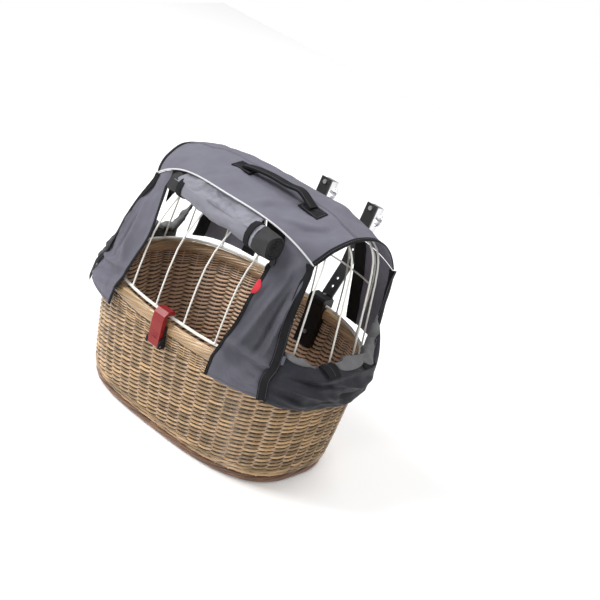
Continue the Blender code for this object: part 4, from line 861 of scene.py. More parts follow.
def pack_row(heap, rng, height, radius):
    """Lay a thin rod along the wall's middle, so that nothing shows through the weave; its dark colour is
    painted shade between the rows.
    """
    plan, _ = wall_ring(height, PACKING_STEPS)
    heap.add_rod(np.column_stack([plan, np.full(PACKING_STEPS, height)]), radius, 6, closed=True, look=1,
                 tone=rng.uniform(0.2, 0.8), shade=0.9, start=rng.uniform(0.0, 9.0))


class BASKET_OT_willow(bpy.types.Operator):
    """Weave the willow wall over its stakes"""
    bl_idname = "basket.willow"
    bl_label = "Willow wall"

    def execute(self, context):
        sizes = context.scene.basket_sizes
        rng = random.Random(11)
        low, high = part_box("basket_wall")[0][2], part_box("basket_wall")[1][2]
        heap = Heap()
        coarse_band = high - sizes.fine_band - low
        rows = round((coarse_band - sizes.row_pitch * 0.4) / sizes.row_pitch)
        fine_rows = round(sizes.fine_band / sizes.fine_pitch)
        # each band: where it starts, its height, its rows, how many have three rods, and the radius shares
        for base, band, count, of_three, rod, packing in (
                (low, coarse_band, rows, 2, ROD_SHARE, PACKING_SHARE),
                (low + coarse_band, sizes.fine_band, fine_rows, 0, FINE_ROD_SHARE, FINE_PACKING_SHARE)):
            pitch = band / count
            for k in range(count):
                height = base + pitch * (k + 0.5)
                weave_row(heap, rng, height, pitch, sizes, 3 if k < of_three else 2, pitch * rod, k % 2)
                for rise in (0.0, 0.5):
                    pack_row(heap, rng, height + pitch * rise, pitch * packing)
        heap.build("willow_weave", ["willow_rods", "packing_rods"], "basket", "willow", "basket_wall")
        heap = Heap()
        heights = np.linspace(low - 0.004, high + 0.004, 12)
        rings = [wall_ring(height, sizes.stakes * 2)[0] for height in heights]
        for k in range(sizes.stakes):
            path = [(*ring[2 * k + 1], height) for ring, height in zip(rings, heights)]
            # the stakes carry shade reading 0.8, so they take most of the pale inside tint: painted light
            heap.add_rod(path, sizes.stake_radius, 8, up=(1.0, 0.2, 0.0), tone=rng.uniform(0.4, 1.0),
                         shade=0.8)
        heap.build("willow_stakes", ["willow_rods"], "basket", "willow")
        return {"FINISHED"}


def wound_border(heap, rng, node, outline, strands, radius, turns, spread, shade=0.0, inner_light=1.0):
    """Wind strands slowly round one another along a border; their inner side takes the pale inside tint,
    painted light, as much as the last argument says.
    """
    (_, _, low), (_, _, high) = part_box(node)
    middle, half_z = (low + high) / 2.0, (high - low) / 2.0 - radius
    half_w = spread - radius
    plan, normals = even_plan(*outline, BORDER_STEPS)
    share = np.arange(BORDER_STEPS) / BORDER_STEPS
    for k in range(strands):
        angle = math.tau * (k / strands + turns * share)
        wobble = 1.0 + 0.05 * np.sin(math.tau * (share * 23 + k * 0.37))
        path = np.column_stack([plan + normals * (half_w * np.cos(angle) * wobble)[:, None],
                                middle + half_z * np.sin(angle) * wobble])
        lengths = 12
        tones = np.repeat([rng.uniform(0.1, 0.9) for _ in range(lengths)], BORDER_STEPS // lengths)
        # painted light: the inner side of each strand takes the pale inside tint
        inward = np.clip(-np.cos(angle), 0.0, 1.0) * inner_light
        heap.add_rod(path, radius, 8, closed=True, tone=tones[:, None], shade=np.maximum(inward, shade),
                     start=rng.uniform(0.0, 9.0))


class BASKET_OT_borders(bpy.types.Operator):
    """Wind the rim border, the foot border and the floor"""
    bl_idname = "basket.borders"
    bl_label = "Borders and floor"

    def execute(self, context):
        rng = random.Random(23)
        heap = Heap()
        wound_border(heap, rng, "rim_border", RIM_PLAN, strands=12, radius=0.0030, turns=4,
                     spread=RIM_BORDER_W / 2.0 + 0.0002, inner_light=0.35)
        # the three thick strands inside the bundle take 0.6 of the pale inside tint: painted light
        wound_border(heap, rng, "rim_border", RIM_PLAN, strands=3, radius=0.0048, turns=4,
                     spread=RIM_BORDER_W / 2.0 - 0.003, shade=0.6)
        heap.build("willow_rim", ["willow_rods"], "basket", "willow", "rim_border")
        heap = Heap()
        wound_border(heap, rng, "foot_border", FOOT_PLAN, strands=5, radius=0.0042, turns=5,
                     spread=FOOT_BORDER_W / 2.0 + 0.0002, inner_light=0.3)
        heap.build("cane_foot", ["brown_cane"], "basket", "willow_dark", "foot_border")
        heap = Heap()
        (_, _, low), (_, _, high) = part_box("basket_floor")
        middle = (low + high) / 2.0
        inset = FOOT_BORDER_W / 2.0 + 0.001
        inner_x, inner_y = FOOT_HALF_X - inset, FOOT_HALF_Y - inset
        ribs_y, rods_x = inner_y * 0.92, inner_x * 0.985
        # the floor's ribs and rods take the pale inside tint by their shade reading: painted light
        for y in np.linspace(-ribs_y, ribs_y, FLOOR_RIBS):
            reach = oval_depth(y, inner_y, inner_x, FOOT_EXPONENT) - 0.003
            path = [(x, y, middle) for x in np.linspace(-reach, reach, 12)]
            heap.add_rod(path, 0.0026, 6, tone=rng.uniform(0.3, 0.9), shade=0.7)
        for k, x in enumerate(np.linspace(-rods_x, rods_x, FLOOR_RODS)):
            reach = oval_depth(x, inner_x, inner_y, FOOT_EXPONENT) - 0.003
            spots = np.linspace(-reach, reach, 45)
            phase = math.pi * ((spots / ribs_y + 1.0) * (FLOOR_RIBS - 1) / 2.0 + k % 2)
            path = np.column_stack([np.full(45, x), spots, middle + 0.0021 * np.cos(phase)])
            heap.add_rod(path, 0.0027, 6, tone=rng.uniform(0.1, 0.9), shade=0.6)
        heap.build("willow_floor", ["willow_rods"], "basket", "willow", "basket_floor")
        return {"FINISHED"}


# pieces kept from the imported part
def dress(node, look, bevel=0.0):
    """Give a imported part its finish, with softened edges where a bevel is given."""
    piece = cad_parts[node]
    material = finishes()(look)
    if not piece.material_slots:
        piece.data.materials.append(material)
    for spot in piece.material_slots:
        spot.link = "OBJECT"
        spot.material = material
    if bevel:
        soft = piece.modifiers.new("soft edges", "BEVEL")
        soft.width = bevel
        soft.segments = 3
        soft.limit_method = "ANGLE"
        soft.angle_limit = math.radians(40.0)
        soft.harden_normals = False


class BASKET_OT_wires(bpy.types.Operator):
    """Coat the wire cage: base rail, hoops, arches and cross wire, with a weld where wires meet"""
    bl_idname = "basket.wires"
    bl_label = "Wire cage"

    def execute(self, context):
        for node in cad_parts:
            if node.startswith("cage_") or node == "back_cross_wire":
                dress(node, "white_coat")
        heap = Heap()
        welds = []
        for k in range(1, 7):
            x = HOOP_STEP * (k - 3.5)
            front = oval_depth(x, RAIL_HALF_X, RAIL_HALF_Y, RAIL_EXPONENT)
            welds += [(x, -front), (x, min(front, HINGE_Y))]
        for x, y in welds:
            path = [(x, y, RAIL_HEIGHT + RAIL_R * s) for s in (0.55, 0.95, 1.25, 1.6)]
            heap.add_rod(path, 0.0034, 10, up=(1.0, 0.0, 0.0), taper=(1.0, 0.95, 0.72, 0.5))
        heap.build("wire_welds", ["white_coat"], "lid", "white_wire", angle=80.0)
        return {"FINISHED"}


class BASKET_OT_latch(bpy.types.Operator):
    """Finish the front latch: red lever, black housing, pin, screw and backing plate"""
    bl_idname = "basket.latch"
    bl_label = "Front latch"

    def execute(self, context):
        dress("latch_lever", "moulded_red", 0.0012)
        dress("latch_housing", "moulded_black", 0.0006)
        for node in ("latch_pin", "latch_screw"):
            dress(node, "zinc_steel", 0.0003)
        dress("latch_backing_plate", "zinc_steel", 0.0004)
        low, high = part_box("latch_lever")
        heap = Heap()
        for share in (0.24, 0.31, 0.38):
            z = low[2] + (high[2] - low[2]) * share
            x = np.linspace(low[0] * 0.62, high[0] * 0.62, 9)
            path = np.column_stack([x, np.full(9, low[1] + 0.0006), np.full(9, z)])
            heap.add_rod(path, 0.0009, 8, taper=(0.3, 0.8, 1, 1, 1, 1, 1, 0.8, 0.3))
        heap.build("lever_ribs", ["moulded_red"], "lever", "red_plastic", angle=80.0)
        return {"FINISHED"}


class BASKET_OT_hanger(bpy.types.Operator):
    """Finish the hinge blocks, hanger arms, handlebar clamps and their fasteners"""
    bl_idname = "basket.hanger"
    bl_label = "Hanger"

    def execute(self, context):
        for side in ("left", "right"):
            dress("hinge_block_" + side, "moulded_black", 0.0008)
            dress("hinge_cap_" + side, "moulded_black", 0.0008)
            dress("hanger_arm_" + side, "powder_black", 0.0004)
            for half in ("front", "back"):
                dress("bar_clamp_%s_%s" % (half, side), "cast_alloy", 0.0007)
            for node in ("hinge_cap_screw_", "wall_bolt_", "wall_nut_", "clamp_bolt_lower_",
                         "clamp_bolt_upper_"):
                dress(node + side, "zinc_steel", 0.0003)
        return {"FINISHED"}


def edge_line(grid, away, edge, inset, lift):
    """Return a line just inside an edge of a grid, and its normals.

    The edge is "row" or "column" with 0 for the first one or -1 for the last one.
    """
    normals = grid_normals(grid, away)
    kind, spot = edge
    if kind == "column":
        grid, normals = grid.swapaxes(0, 1), normals.swapaxes(0, 1)
    line, inner, out = grid[spot], grid[1 if spot == 0 else -2], normals[spot]
    return line + unit(inner - line) * inset + out * lift, out


def bind_edge(heap, grid, edge, inset, tape, thread_lift=None):
    """Bind an edge of a grid with tape, and stitch it down where a lift is given for the thread."""
    path, out = edge_line(grid, HOOD_MIDDLE, edge, inset, 0.0006)
    heap.add_tape(path, out, *tape, look=2)
    if thread_lift:
        heap.add_stitches(path + out * thread_lift, out, look=3)


def inner_edge(shape, rows=0.08, columns=0.08):
    """Return 0 at the edges of a grid and 1 inside it."""
    v = np.linspace(0.0, 1.0, shape[0])[:, None]
    u = np.linspace(0.0, 1.0, shape[1])[None, :]
    fade_v = np.clip(np.minimum(v, 1.0 - v) / rows, 0.0, 1.0)
    fade_u = np.clip(np.minimum(u, 1.0 - u) / columns, 0.0, 1.0)
    return np.sin(math.pi / 2.0 * fade_v) * np.sin(math.pi / 2.0 * fade_u)


class BASKET_OT_roof(bpy.types.Operator):
    """Stretch the roof cloth over the wires, with its seams, side bindings and front piping"""
    bl_idname = "basket.roof"
    bl_label = "Hood roof"

    def execute(self, context):
        rows, columns = 80, 120
        grid = np.array([[roof_point(2.0 * j / columns - 1.0, i / rows) for j in range(columns + 1)]
                         for i in range(rows + 1)])
        size = flat_size(grid)
        soft = wrinkled(grid, ROOF_RIPPLES, 3, ROOF_CREASES)
        soft = (soft + 0.0004) * inner_edge(soft.shape)
        grid = pushed(grid, HOOD_MIDDLE, np.maximum(soft, -0.0008))
        heap = Heap()
        heap.add_sheet(grid, ROOF_THICK, HOOD_MIDDLE, look=0, back=1)
        spots = np.array(ROOF_SEAM)
        share = np.linspace(0.0, len(spots) - 1.0, 160)
        across, along = [np.interp(share, range(len(spots)), spots[:, k]) for k in (0, 1)]
        nearest = np.round(along * rows).astype(int), np.round((across + 1.0) / 2.0 * columns).astype(int)
        path = np.array([roof_point(u, v) for u, v in zip(across, along)])
        up = grid_normals(grid, HOOD_MIDDLE)[nearest]
        path += up * np.maximum(np.sum((grid[nearest] - path) * up, axis=1, keepdims=True), 0.0)
        heap.add_rod(path + up * 0.0001, 0.0009, 6, look=0, up=up, squash=0.6)
        heap.add_stitches(path + up * 0.0006 + np.array([0.0, 0.0025, 0.0]), up, look=3)
        for edge, thread_lift in ((("column", 0), 0.0009), (("column", -1), 0.0009), (("row", -1), None)):
            bind_edge(heap, grid, edge, 0.0036, ROOF_BINDING, thread_lift)
        piece = heap.build("roof_cloth", HOOD_LOOKS, "lid", "cloth", "hood_roof", slouch=True)
        heap = Heap()
        path = grid[0] + np.array([0.0, -0.0006, 0.0006])
        heap.add_rod(path, 0.0017, 10, look=0)
        heap.build("front_piping", ["piping_cord"], "lid", "silver_cloth", "roof_piping", slouch=True)
        return {"FINISHED"}


class BASKET_OT_corners(bpy.types.Operator):
    """Sew the four corner panels of the hood, with zip tapes, bindings, facings and corner straps"""
    bl_idname = "basket.corners"
    bl_label = "Hood corners"

    def execute(self, context):
        for side, label in ((-1.0, "left"), (1.0, "right")):
            self.front_panel(side, label)
            self.facing(side, label, corner_grid(side, True, 20, 2)[:, 0])
            self.back_panel(side, label)
        return {"FINISHED"}

    def front_panel(self, side, label):
        """Sew a front panel with its window binding, zip teeth, side binding and strap."""
        plain = corner_grid(side, True, 84, 36)
        size = flat_size(plain)
        seed = 11 if side > 0.0 else 17
        soft = wrinkled(plain, FRONT_RIPPLES, seed, FRONT_CREASES)
        rise = np.linspace(0.0, 1.0, soft.shape[0])[:, None]
        soft += 0.0022 * np.exp(-((rise - 0.045) / 0.030) ** 2)
        grid = pushed(plain, HOOD_MIDDLE, (soft + 0.001) * inner_edge(soft.shape, 0.05, 0.22))
        # painted shade: the right panel is painted darker than the left one, as photographed, and both most
        # at half height
        shade = (0.40 + 0.28 * side) * (0.35 + 0.95 * np.sin(math.pi * rise) ** 0.7)
        heap = Heap()
        heap.add_sheet(grid, PANEL_THICK, HOOD_MIDDLE, look=0, back=1, shade=shade)
        path, out = edge_line(grid, HOOD_MIDDLE, ("column", 0), 0.0020, 0.0004)
        heap.add_tape(path, out, *WINDOW_BINDING, look=2)
        teeth = path - unit(grid[:, 2] - grid[:, 0]) * 0.0030 + out * 0.0002
        count = int(len(teeth) * 0.98)
        heap.add_rod(teeth[:count], 0.0009, 6, look=2, up=out[:count])
        path, out = edge_line(grid, HOOD_MIDDLE, ("row", 0), 0.0045, 0.0003)
        heap.add_stitches(path, out, look=3)
        path, out = edge_line(plain, HOOD_MIDDLE, ("column", -1), 0.0072, 0.0042)
        heap.add_tape(path[30:], out[30:], *SIDE_BINDING, look=2)
        piece = heap.build("front_corner_" + label, HOOD_LOOKS, "lid", "cloth", "hood_front_corner_" + label,
                           slouch=True)
        heap = Heap()
        path, out = edge_line(plain, HOOD_MIDDLE, ("column", -1), 0.0074, 0.0048)
        count = int(len(path) * 0.62)
        heap.add_tape(path[:count], out[:count], *CORNER_STRAP, look=0)
        beside = unit(np.cross(np.gradient(path, axis=0), out))
        for shift in (-0.0068, 0.0068):
            heap.add_stitches((path + beside * shift + out * 0.0007)[:count], out[:count], look=1)
        heap.build("front_strap_" + label, STRAP_LOOKS, "lid", "black_webbing", "corner_strap_" + label,
                   slouch=True)

    def facing(self, side, label, edge):
        """Hang the black facing between the roof's front edge, the panel and the rolled window."""
        outer = abs(edge[-1, 0]) + 0.002
        grid = np.empty((12, 26, 3))
        for j, u in enumerate(np.linspace(0.0, 1.0, 26)):
            x = outer + (FACING_IN - outer) * u
            top = roof_edge(x, 0.0)
            drop = 0.052 * (1.0 - u) ** 1.3 + 0.016
            for i, v in enumerate(np.linspace(0.0, 1.0, 12)):
                grid[i, j] = (side * x, top.y + 0.0025 + 0.004 * v * u, top.z - 0.0016 - drop * v)
        size = flat_size(grid)
        soft = wrinkled(grid, FACING_RIPPLES, 41)
        grid = pushed(grid, HOOD_MIDDLE, soft * inner_edge(soft.shape, 0.1, 0.1))
        heap = Heap()
        heap.add_sheet(grid, FACING_THICK, HOOD_MIDDLE, look=0)
        piece = heap.build("front_facing_" + label, ["black_binding"], "lid", "black_webbing", slouch=True)

    def back_panel(self, side, label):
        """Sew a back panel with its bindings, and the black bands inside it as a piece of their own."""
        grid = corner_grid(side, False, 60, 34, 0.0020)
        size = flat_size(grid)
        seed = 23 if side > 0.0 else 29
        soft = wrinkled(grid, BACK_RIPPLES, seed, BACK_CREASES)
        grid = pushed(grid, HOOD_MIDDLE, (soft + 0.0008) * inner_edge(soft.shape))
        heap = Heap()
        heap.add_sheet(grid, PANEL_THICK, HOOD_MIDDLE, look=0, back=1)
        for edge, width in ((("column", -1), 0.0170), (("column", 0), 0.0090), (("row", 0), 0.0090)):
            bind_edge(heap, grid, edge, width / 2.0 - 0.0008, (width, 0.0016), 0.0008)
        bands = Heap()
        inside = pushed(grid, HOOD_MIDDLE, np.full(soft.shape, -0.0021))
        for part in (inside[:, :6], inside[:, -8:]):
            bands.add_sheet(part, BAND_THICK, HOOD_MIDDLE, look=0)
        band = bands.build("back_bands_" + label, ["black_binding"], "lid", "black_webbing", slouch=True)
        piece = heap.build("back_corner_" + label, HOOD_LOOKS, "lid", "cloth", "hood_back_corner_" + label,
                           slouch=True)


# Section of the side flap from its top edge to its hem: share of the way, height and way out, and for the
# lower part also the run that leans it forward and tucks it in
FLAP_UPPER = ((0.0, 0.0, 0.0), (0.16, 0.35, 0.55), (0.34, 0.75, 0.90), (0.46, 1.0, 1.0))
FLAP_LOWER = ((0.50, 0.06, 1.0), (0.62, 0.30, 1.0), (0.81, 0.65, 0.93), (1.0, 1.0, 0.885))


def flap_grid(side, rows, columns):
    """Return the outside of a side flap: from its top edge, over the fold and down to its hem."""
    first, last = FLAP_SHARES[0][0], FLAP_SHARES[-1][0]
    lip, far = RAIL_R + FLAP_SEAT + FLAP_LIP, FLAP_INNER + FLAP_BULGE
    grid = np.empty((rows + 1, columns + 1, 3))
    for j in range(columns + 1):
        share = j / columns
        key = first + (last - first) * share
        top, hem = eased(FLAP_SHARES, key, 1) * HOOD_HEIGHT, eased(FLAP_SHARES, key, 2) * HOOD_HEIGHT
        table = [(t, top + (FLAP_FOLD - top) * h, o, 0.0) for t, h, o in FLAP_UPPER]
        table += [(t, FLAP_FOLD + (hem - FLAP_FOLD) * h, o, h) for t, h, o in FLAP_LOWER]
        for i in range(rows + 1):
            height, outer, run = [eased(table, i / rows, k) for k in (1, 2, 3)]
            tuck = FLAP_TUCK * share * (1.0 - FLAP_FREE * share ** 5)
            out = lip + (far - lip) * outer - tuck * max(run, 0.0) ** 1.5
            y = key * RAIL_HALF_Y - FLAP_SKEW * run * (1.0 - share) ** 3
            x = oval_depth(y, RAIL_HALF_Y + out, RAIL_HALF_X + out, RAIL_EXPONENT)
            grid[i, j] = (side * x, y, RAIL_HEIGHT + height)
    seam = corner_grid(side, True, 40, 2)[:, -1]
    meet = np.stack([np.interp(grid[:, 0, 2], seam[:, 2], seam[:, k]) for k in range(2)], axis=1)
    meet -= grid[:, 0, :2]
    reach = np.clip(1.0 - np.linspace(0.0, 1.0, columns + 1) / 0.30, 0.0, 1.0) ** 1.6
    grid[:, :, :2] += meet[:, None] * reach[None, :, None]
    return grid


class BASKET_OT_flaps(bpy.types.Operator):
    """Fold the side flaps down over the rim: dark pouch, pale lining along the top, two tabs"""
    bl_idname = "basket.flaps"
    bl_label = "Side flaps"

    def execute(self, context):
        for side, label in ((-1.0, "left"), (1.0, "right")):
            self.flap(side, label, 31 if side > 0.0 else 37)
        return {"FINISHED"}

    def flap(self, side, label, seed):
        """Fold a flap's pouch down, turn its hem in, line it and sew its two tabs on."""
        columns = 110
        away = (side * (RAIL_HALF_X - 0.05), 0.0, RAIL_HEIGHT - 0.03)
        grid = flap_grid(side, 64, columns)
        size = flat_size(grid)
        soft = wrinkled(grid, FLAP_RIPPLES, seed, FLAP_CREASES)
        grid = pushed(grid, away, soft * inner_edge(soft.shape, 0.10, 0.16))
        heap = Heap()
        curl = np.array([grid[-1] + np.array([-side * inward, 0.0, up]) for inward, up in FLAP_CURL])
        heap.add_sheet(np.concatenate([grid, curl]), POUCH_THICK, away, look=0, back=1)
        path, out = edge_line(grid, away, ("row", -1), 0.0050, 0.0003)
        heap.add_stitches(path, out, look=2)
        piece = heap.build("flap_pouch_" + label, POUCH_LOOKS, "lid", "cloth", "side_flap_" + label)
        self.lining(label, grid, seed)
        heap = Heap()
        normals = grid_normals(grid, away)
        for share in (0.36, 0.82):
            j = int(share * columns)
            out = np.vstack([[-side, 0.0, 0.6], normals[0:26:2, j]])
            path = np.vstack([grid[0, j] + np.array([-side * 0.004, 0.0, -0.004]),
                              grid[0:26:2, j] + normals[0:26:2, j] * 0.0028])
            heap.add_tape(path, out, *FLAP_TAB, look=0)
            heap.add_stitches(path[1:] + out[1:] * 0.0014, out[1:], look=1)
        heap.build("flap_tabs_" + label, STRAP_LOOKS, "lid", "black_webbing")

    def lining(self, label, grid, seed):
        """Roll the pale lining out along the top edge, thin in front and fuller behind."""
        heap = Heap()
        sizes = []
        columns = np.arange(grid.shape[1])
        swell = np.sin(math.pi * np.linspace(0.0, 1.0, 56)) ** 0.5
        for first, last, width, rise in LINING_LENGTHS:
            spots = np.linspace(first, last, 56) * columns[-1]
            top, low = [np.stack([np.interp(spots, columns, grid[row, :, k]) for k in range(3)], axis=1)
                        for row in (0, 10)]
            out = unit(low - top)
            lines = []
            for reach in np.linspace(0.0, 1.0, 15):
                turn = math.pi * (1.4 * reach - 0.35)
                lines.append(top + out * (width * (0.55 - math.cos(turn) * 0.55) * swell)[:, None] * 0.9
                             + UP * ((rise * math.sin(turn) + 0.001 * reach) * swell)[:, None])
            shape = np.array(lines)
            wrinkles = wrinkled(shape, LINING_RIPPLES, seed + 5)
            middle = shape.mean(axis=(0, 1)) - np.array([0.0, 0.0, 0.05])
            shape = pushed(shape, middle, wrinkles * inner_edge(wrinkles.shape, 0.2, 0.1))
            heap.add_sheet(shape, LINING_THICK, middle, look=0)
            sizes.append(flat_size(shape))
        piece = heap.build("flap_lining_" + label, ["lining_cloth"], "lid", "silver_cloth")
        flat = (max(min(size[0]) for size in sizes), sum(max(size[0]) for size in sizes))


class BASKET_OT_roll(bpy.types.Operator):
    """Roll the front window up under the roof, with its dark ends and its two straps"""
    bl_idname = "basket.roll"
    bl_label = "Window roll"

    def execute(self, context):
        low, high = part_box("window_roll")
        middle_y, middle_z = (low[1] + high[1]) / 2.0, (low[2] + high[2]) / 2.0
        radius = (high[2] - low[2]) / 2.0
        rng = random.Random(5)
        heap = Heap()
        straps = [sum(corner[0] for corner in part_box("roll_strap_" + label)) / 2.0
                  for label in ("left", "right")]
        turns = math.tau * np.arange(56) / 56

        def swollen(x):
            """Return the radius of the roll at an x; it is thinner on the left."""
            return radius * (0.96 + 0.30 * (x - low[0]) / (high[0] - low[0]))

        def ring(x, size):
            """Return a ring of the roll at an x, pinched under the straps and folded between them."""
            pinch = sum(math.exp(-((x - spot) / 0.011) ** 2) for spot in straps)
            wave, fine = [
                np.array([noise.noise(Vector((x / long, math.cos(t) * thick, math.sin(t) * thick + shift)))
                          for t in turns])
                for long, thick, shift in ((0.030, 1.3, 0.0), (0.012, 2.5, 9.0))]
            wide = swollen(x)
            fold = 0.060 * np.sin(2.0 * turns + x * 55.0) + 0.17 * wave + 0.07 * fine
            reach = wide * (size * (1.0 - 0.07 * pinch) + fold * (1.0 - 0.8 * pinch) * (size > 0.9))
            return np.column_stack([np.full(56, x), middle_y - (wide - radius) * 0.3 + reach * np.cos(turns),
                                    middle_z - (wide - radius) * 1.1 + reach * np.sin(turns)])

        def cap(x, toward):
            """Return the rings of an end, with the spiral of the rolled cloth pressed into it."""
            rings = []
            for k in range(13):
                size = 0.04 + 0.93 * k / 12
                dent = 0.0016 * np.sin(math.tau * (4.5 * k / 12) + turns) - 0.004 * (1.0 - size) ** 2
                here = ring(x, size)
                here[:, 0] += toward * dent
                rings.append(here)
            return rings

        # from left to right: dark end, window, dark end
        cuts = (low[0] + 0.001, low[0] + ROLL_END, high[0] - ROLL_END - ROLL_RIGHT_SHIFT, high[0] - 0.001)
        for k, (look, size) in enumerate(((1, 0.965), (0, 0.94), (1, 0.965))):
            first, last = cuts[k], cuts[k + 1]
            body = [ring(x, size) for x in np.linspace(first, last, max(int((last - first) / 0.004), 6))]
            left = cap(first, -1.0) if k == 0 else [ring(first, size - 0.04)]
            right = cap(last, 1.0)[::-1] if k == 2 else [ring(last, size - 0.04)]
            grid = np.array(left + body + right)
            along = np.cumsum(np.abs(np.diff(grid[:, 0, 0], prepend=grid[0, 0, 0])))
            index = heap.add_grid(grid, around=True, look=look, along=along[:, None],
                                  round=(turns * radius)[None, :], tone=0.5)
            heap.add_ends(index, look)
        # the window's cloth from the roof's front seam down to the roll
        spots = np.linspace(-FACING_IN - 0.006, FACING_IN - 0.004, 90)
        seam = slouched([(x, *roof_edge(x, 0.0).yz) for x in spots]) + np.array([0.0, 0.0030, -0.0020])
        turn = 0.78 * math.pi
        to_landing = 0.95 * np.array([math.cos(turn), math.sin(turn)])
        landing = np.array([ring(x, 0.97)[:, 1:].mean(axis=0) + swollen(x) * to_landing for x in spots])
        foot = np.column_stack([spots, landing])
        strip = np.array([seam + (foot - seam) * v for v in np.linspace(0.0, 1.0, 18)])
        away = (0.0, middle_y + 0.1, middle_z - 0.1)
        soft = wrinkled(strip, WINDOW_RIPPLES, 51) + 0.001
        strip = pushed(strip, away, soft * inner_edge(soft.shape, 0.2, 0.05))
        heap.add_sheet(strip, FACING_THICK, away, look=0)
        piece = heap.build("rolled_window", ["roll_cloth", "roll_end"], "lid", "silver_cloth", "window_roll")
        heap = Heap()
        for spot in (straps[0], straps[1] + ROLL_STRAP_SHIFT):
            loop = ring(spot, 1.04)
            loop[:, 0] += np.array([rng.uniform(-0.0003, 0.0003) for _ in turns])
            heap.add_tape(loop, loop - loop.mean(axis=0), *ROLL_STRAP, look=0, closed=True)
        heap.build("roll_straps", ["black_strap"], "lid", "black_webbing", "roll_strap_left",
                   "roll_strap_right")
        return {"FINISHED"}


class BASKET_OT_handle(bpy.types.Operator):
    """Sew the carrying handle to the roof between its two tabs"""
    bl_idname = "basket.handle"
    bl_label = "Carrying handle"

    def execute(self, context):
        heap = Heap()
        rim = np.array([(-0.9, -0.82), (0.9, -0.82), (0.9, 0.82), (-0.9, 0.82), (-0.9, -0.82), (0.9, 0.82)])

        def on_tab(x, spot, lift):
            """Return a place on the tab at an x, from its spot across and along the tab."""
            return np.array(roof_at(x + TAB_HALF_X * spot[0], HANDLE_Y + TAB_HALF_Y * spot[1])) + UP * lift

        for x in (HANDLE_LEFT, HANDLE_RIGHT):
            grid = np.array([[on_tab(x, (u, v), 0.0032) for u in np.linspace(-1, 1, 17)]
                             for v in np.linspace(-1, 1, 11)])
            heap.add_sheet(grid, TAB_THICK, HOOD_MIDDLE, look=0)
            for start, end in zip(rim, rim[1:]):
                line = [on_tab(x, start + (end - start) * s, 0.0034) for s in np.linspace(0.0, 1.0, 12)]
                heap.add_stitches(line, [UP] * 12, look=1, pitch=0.0036, length=0.0024)
        heap.build("handle_tabs", STRAP_LOOKS, "lid", "black_webbing", "handle_tab_left", "handle_tab_right",
                   slouch=True)
        heap = Heap()
        places = np.linspace(HANDLE_LEFT, HANDLE_RIGHT, 60)
        share = np.linspace(0.0, 1.0, 60)
        lift = 0.0045 + 0.010 * np.sin(math.pi * share) ** 0.8 + 0.008 * np.exp(-((share - 0.80) / 0.13) ** 2)
        path = np.array([roof_at(x, HANDLE_Y) for x in places]) + UP * lift[:, None]
        normals = np.cross(np.gradient(path, axis=0), np.array([0.0, -1.0, 0.0]))
        normals *= np.sign(normals[:, 2:])
        for low in (-0.0011, 0.0013):
            heap.add_tape(path + unit(normals) * low, normals, *HANDLE_WEBBING, look=0)
        for shift in (-0.0085, 0.0085):
            line = path + unit(normals) * 0.0026 + np.array([0.0, shift, 0.0])
            heap.add_stitches(line, normals, look=1)
        heap.build("webbing_handle", STRAP_LOOKS, "lid", "black_webbing", "carry_handle", slouch=True)
        return {"FINISHED"}


class BASKET_OT_trim(bpy.types.Operator):
    """Add the zip pull with its slider, the red tab and the small grey tab"""
    bl_idname = "basket.trim"
    bl_label = "Small trim"

    def execute(self, context):
        grid = slouched(corner_grid(1.0, True, 84, 36))
        normals = grid_normals(grid, HOOD_MIDDLE)

        def frame_at(row, column):
            """Return a place on the right front panel, and the ways across, up and out of it."""
            spot = grid[row, column]
            across, up = unit(grid[row, column + 1] - spot), unit(grid[row + 1, column] - spot)
            return spot, across, up, normals[row, column]

        heap = Heap()
        spot, _, _, out = frame_at(74, 0)
        down = np.array([0.25, -0.1, -1.0])
        down = unit(down - out * np.dot(down, out))
        beside = unit(np.cross(out, down))
        outline = [(-w, a) for a, w in ZIP_HALF] + [(w, a) for a, w in ZIP_HALF[::-1]]
        heap.add_plate(outline, spot + out * 0.005, beside, down, out, 0.0032, look=0)
        heap.add_plate(ZIP_SLIDER, spot + out * 0.0012, beside, down, out, 0.0036, look=1)
        heap.build("zip_slider", ["moulded_black", "zinc_steel"], "lid", "black_plastic", "zip_pull")
        heap = Heap()
        spot, across, up, out = frame_at(55, 0)
        heap.add_plate(RED_TAB, spot + out * 0.0016, across, up, out, 0.0016, look=0)
        heap.build("red_tab", ["red_tape"], "lid", "red_cloth", "side_label")
        heap = Heap()
        spot, across, up, out = frame_at(26, 34)
        heap.add_plate(GREY_TAB, spot + out * 0.0040, across, up, out, 0.0014, look=0)
        heap.build("grey_tab", ["grey_thread"], "lid", "silver_cloth")
        return {"FINISHED"}


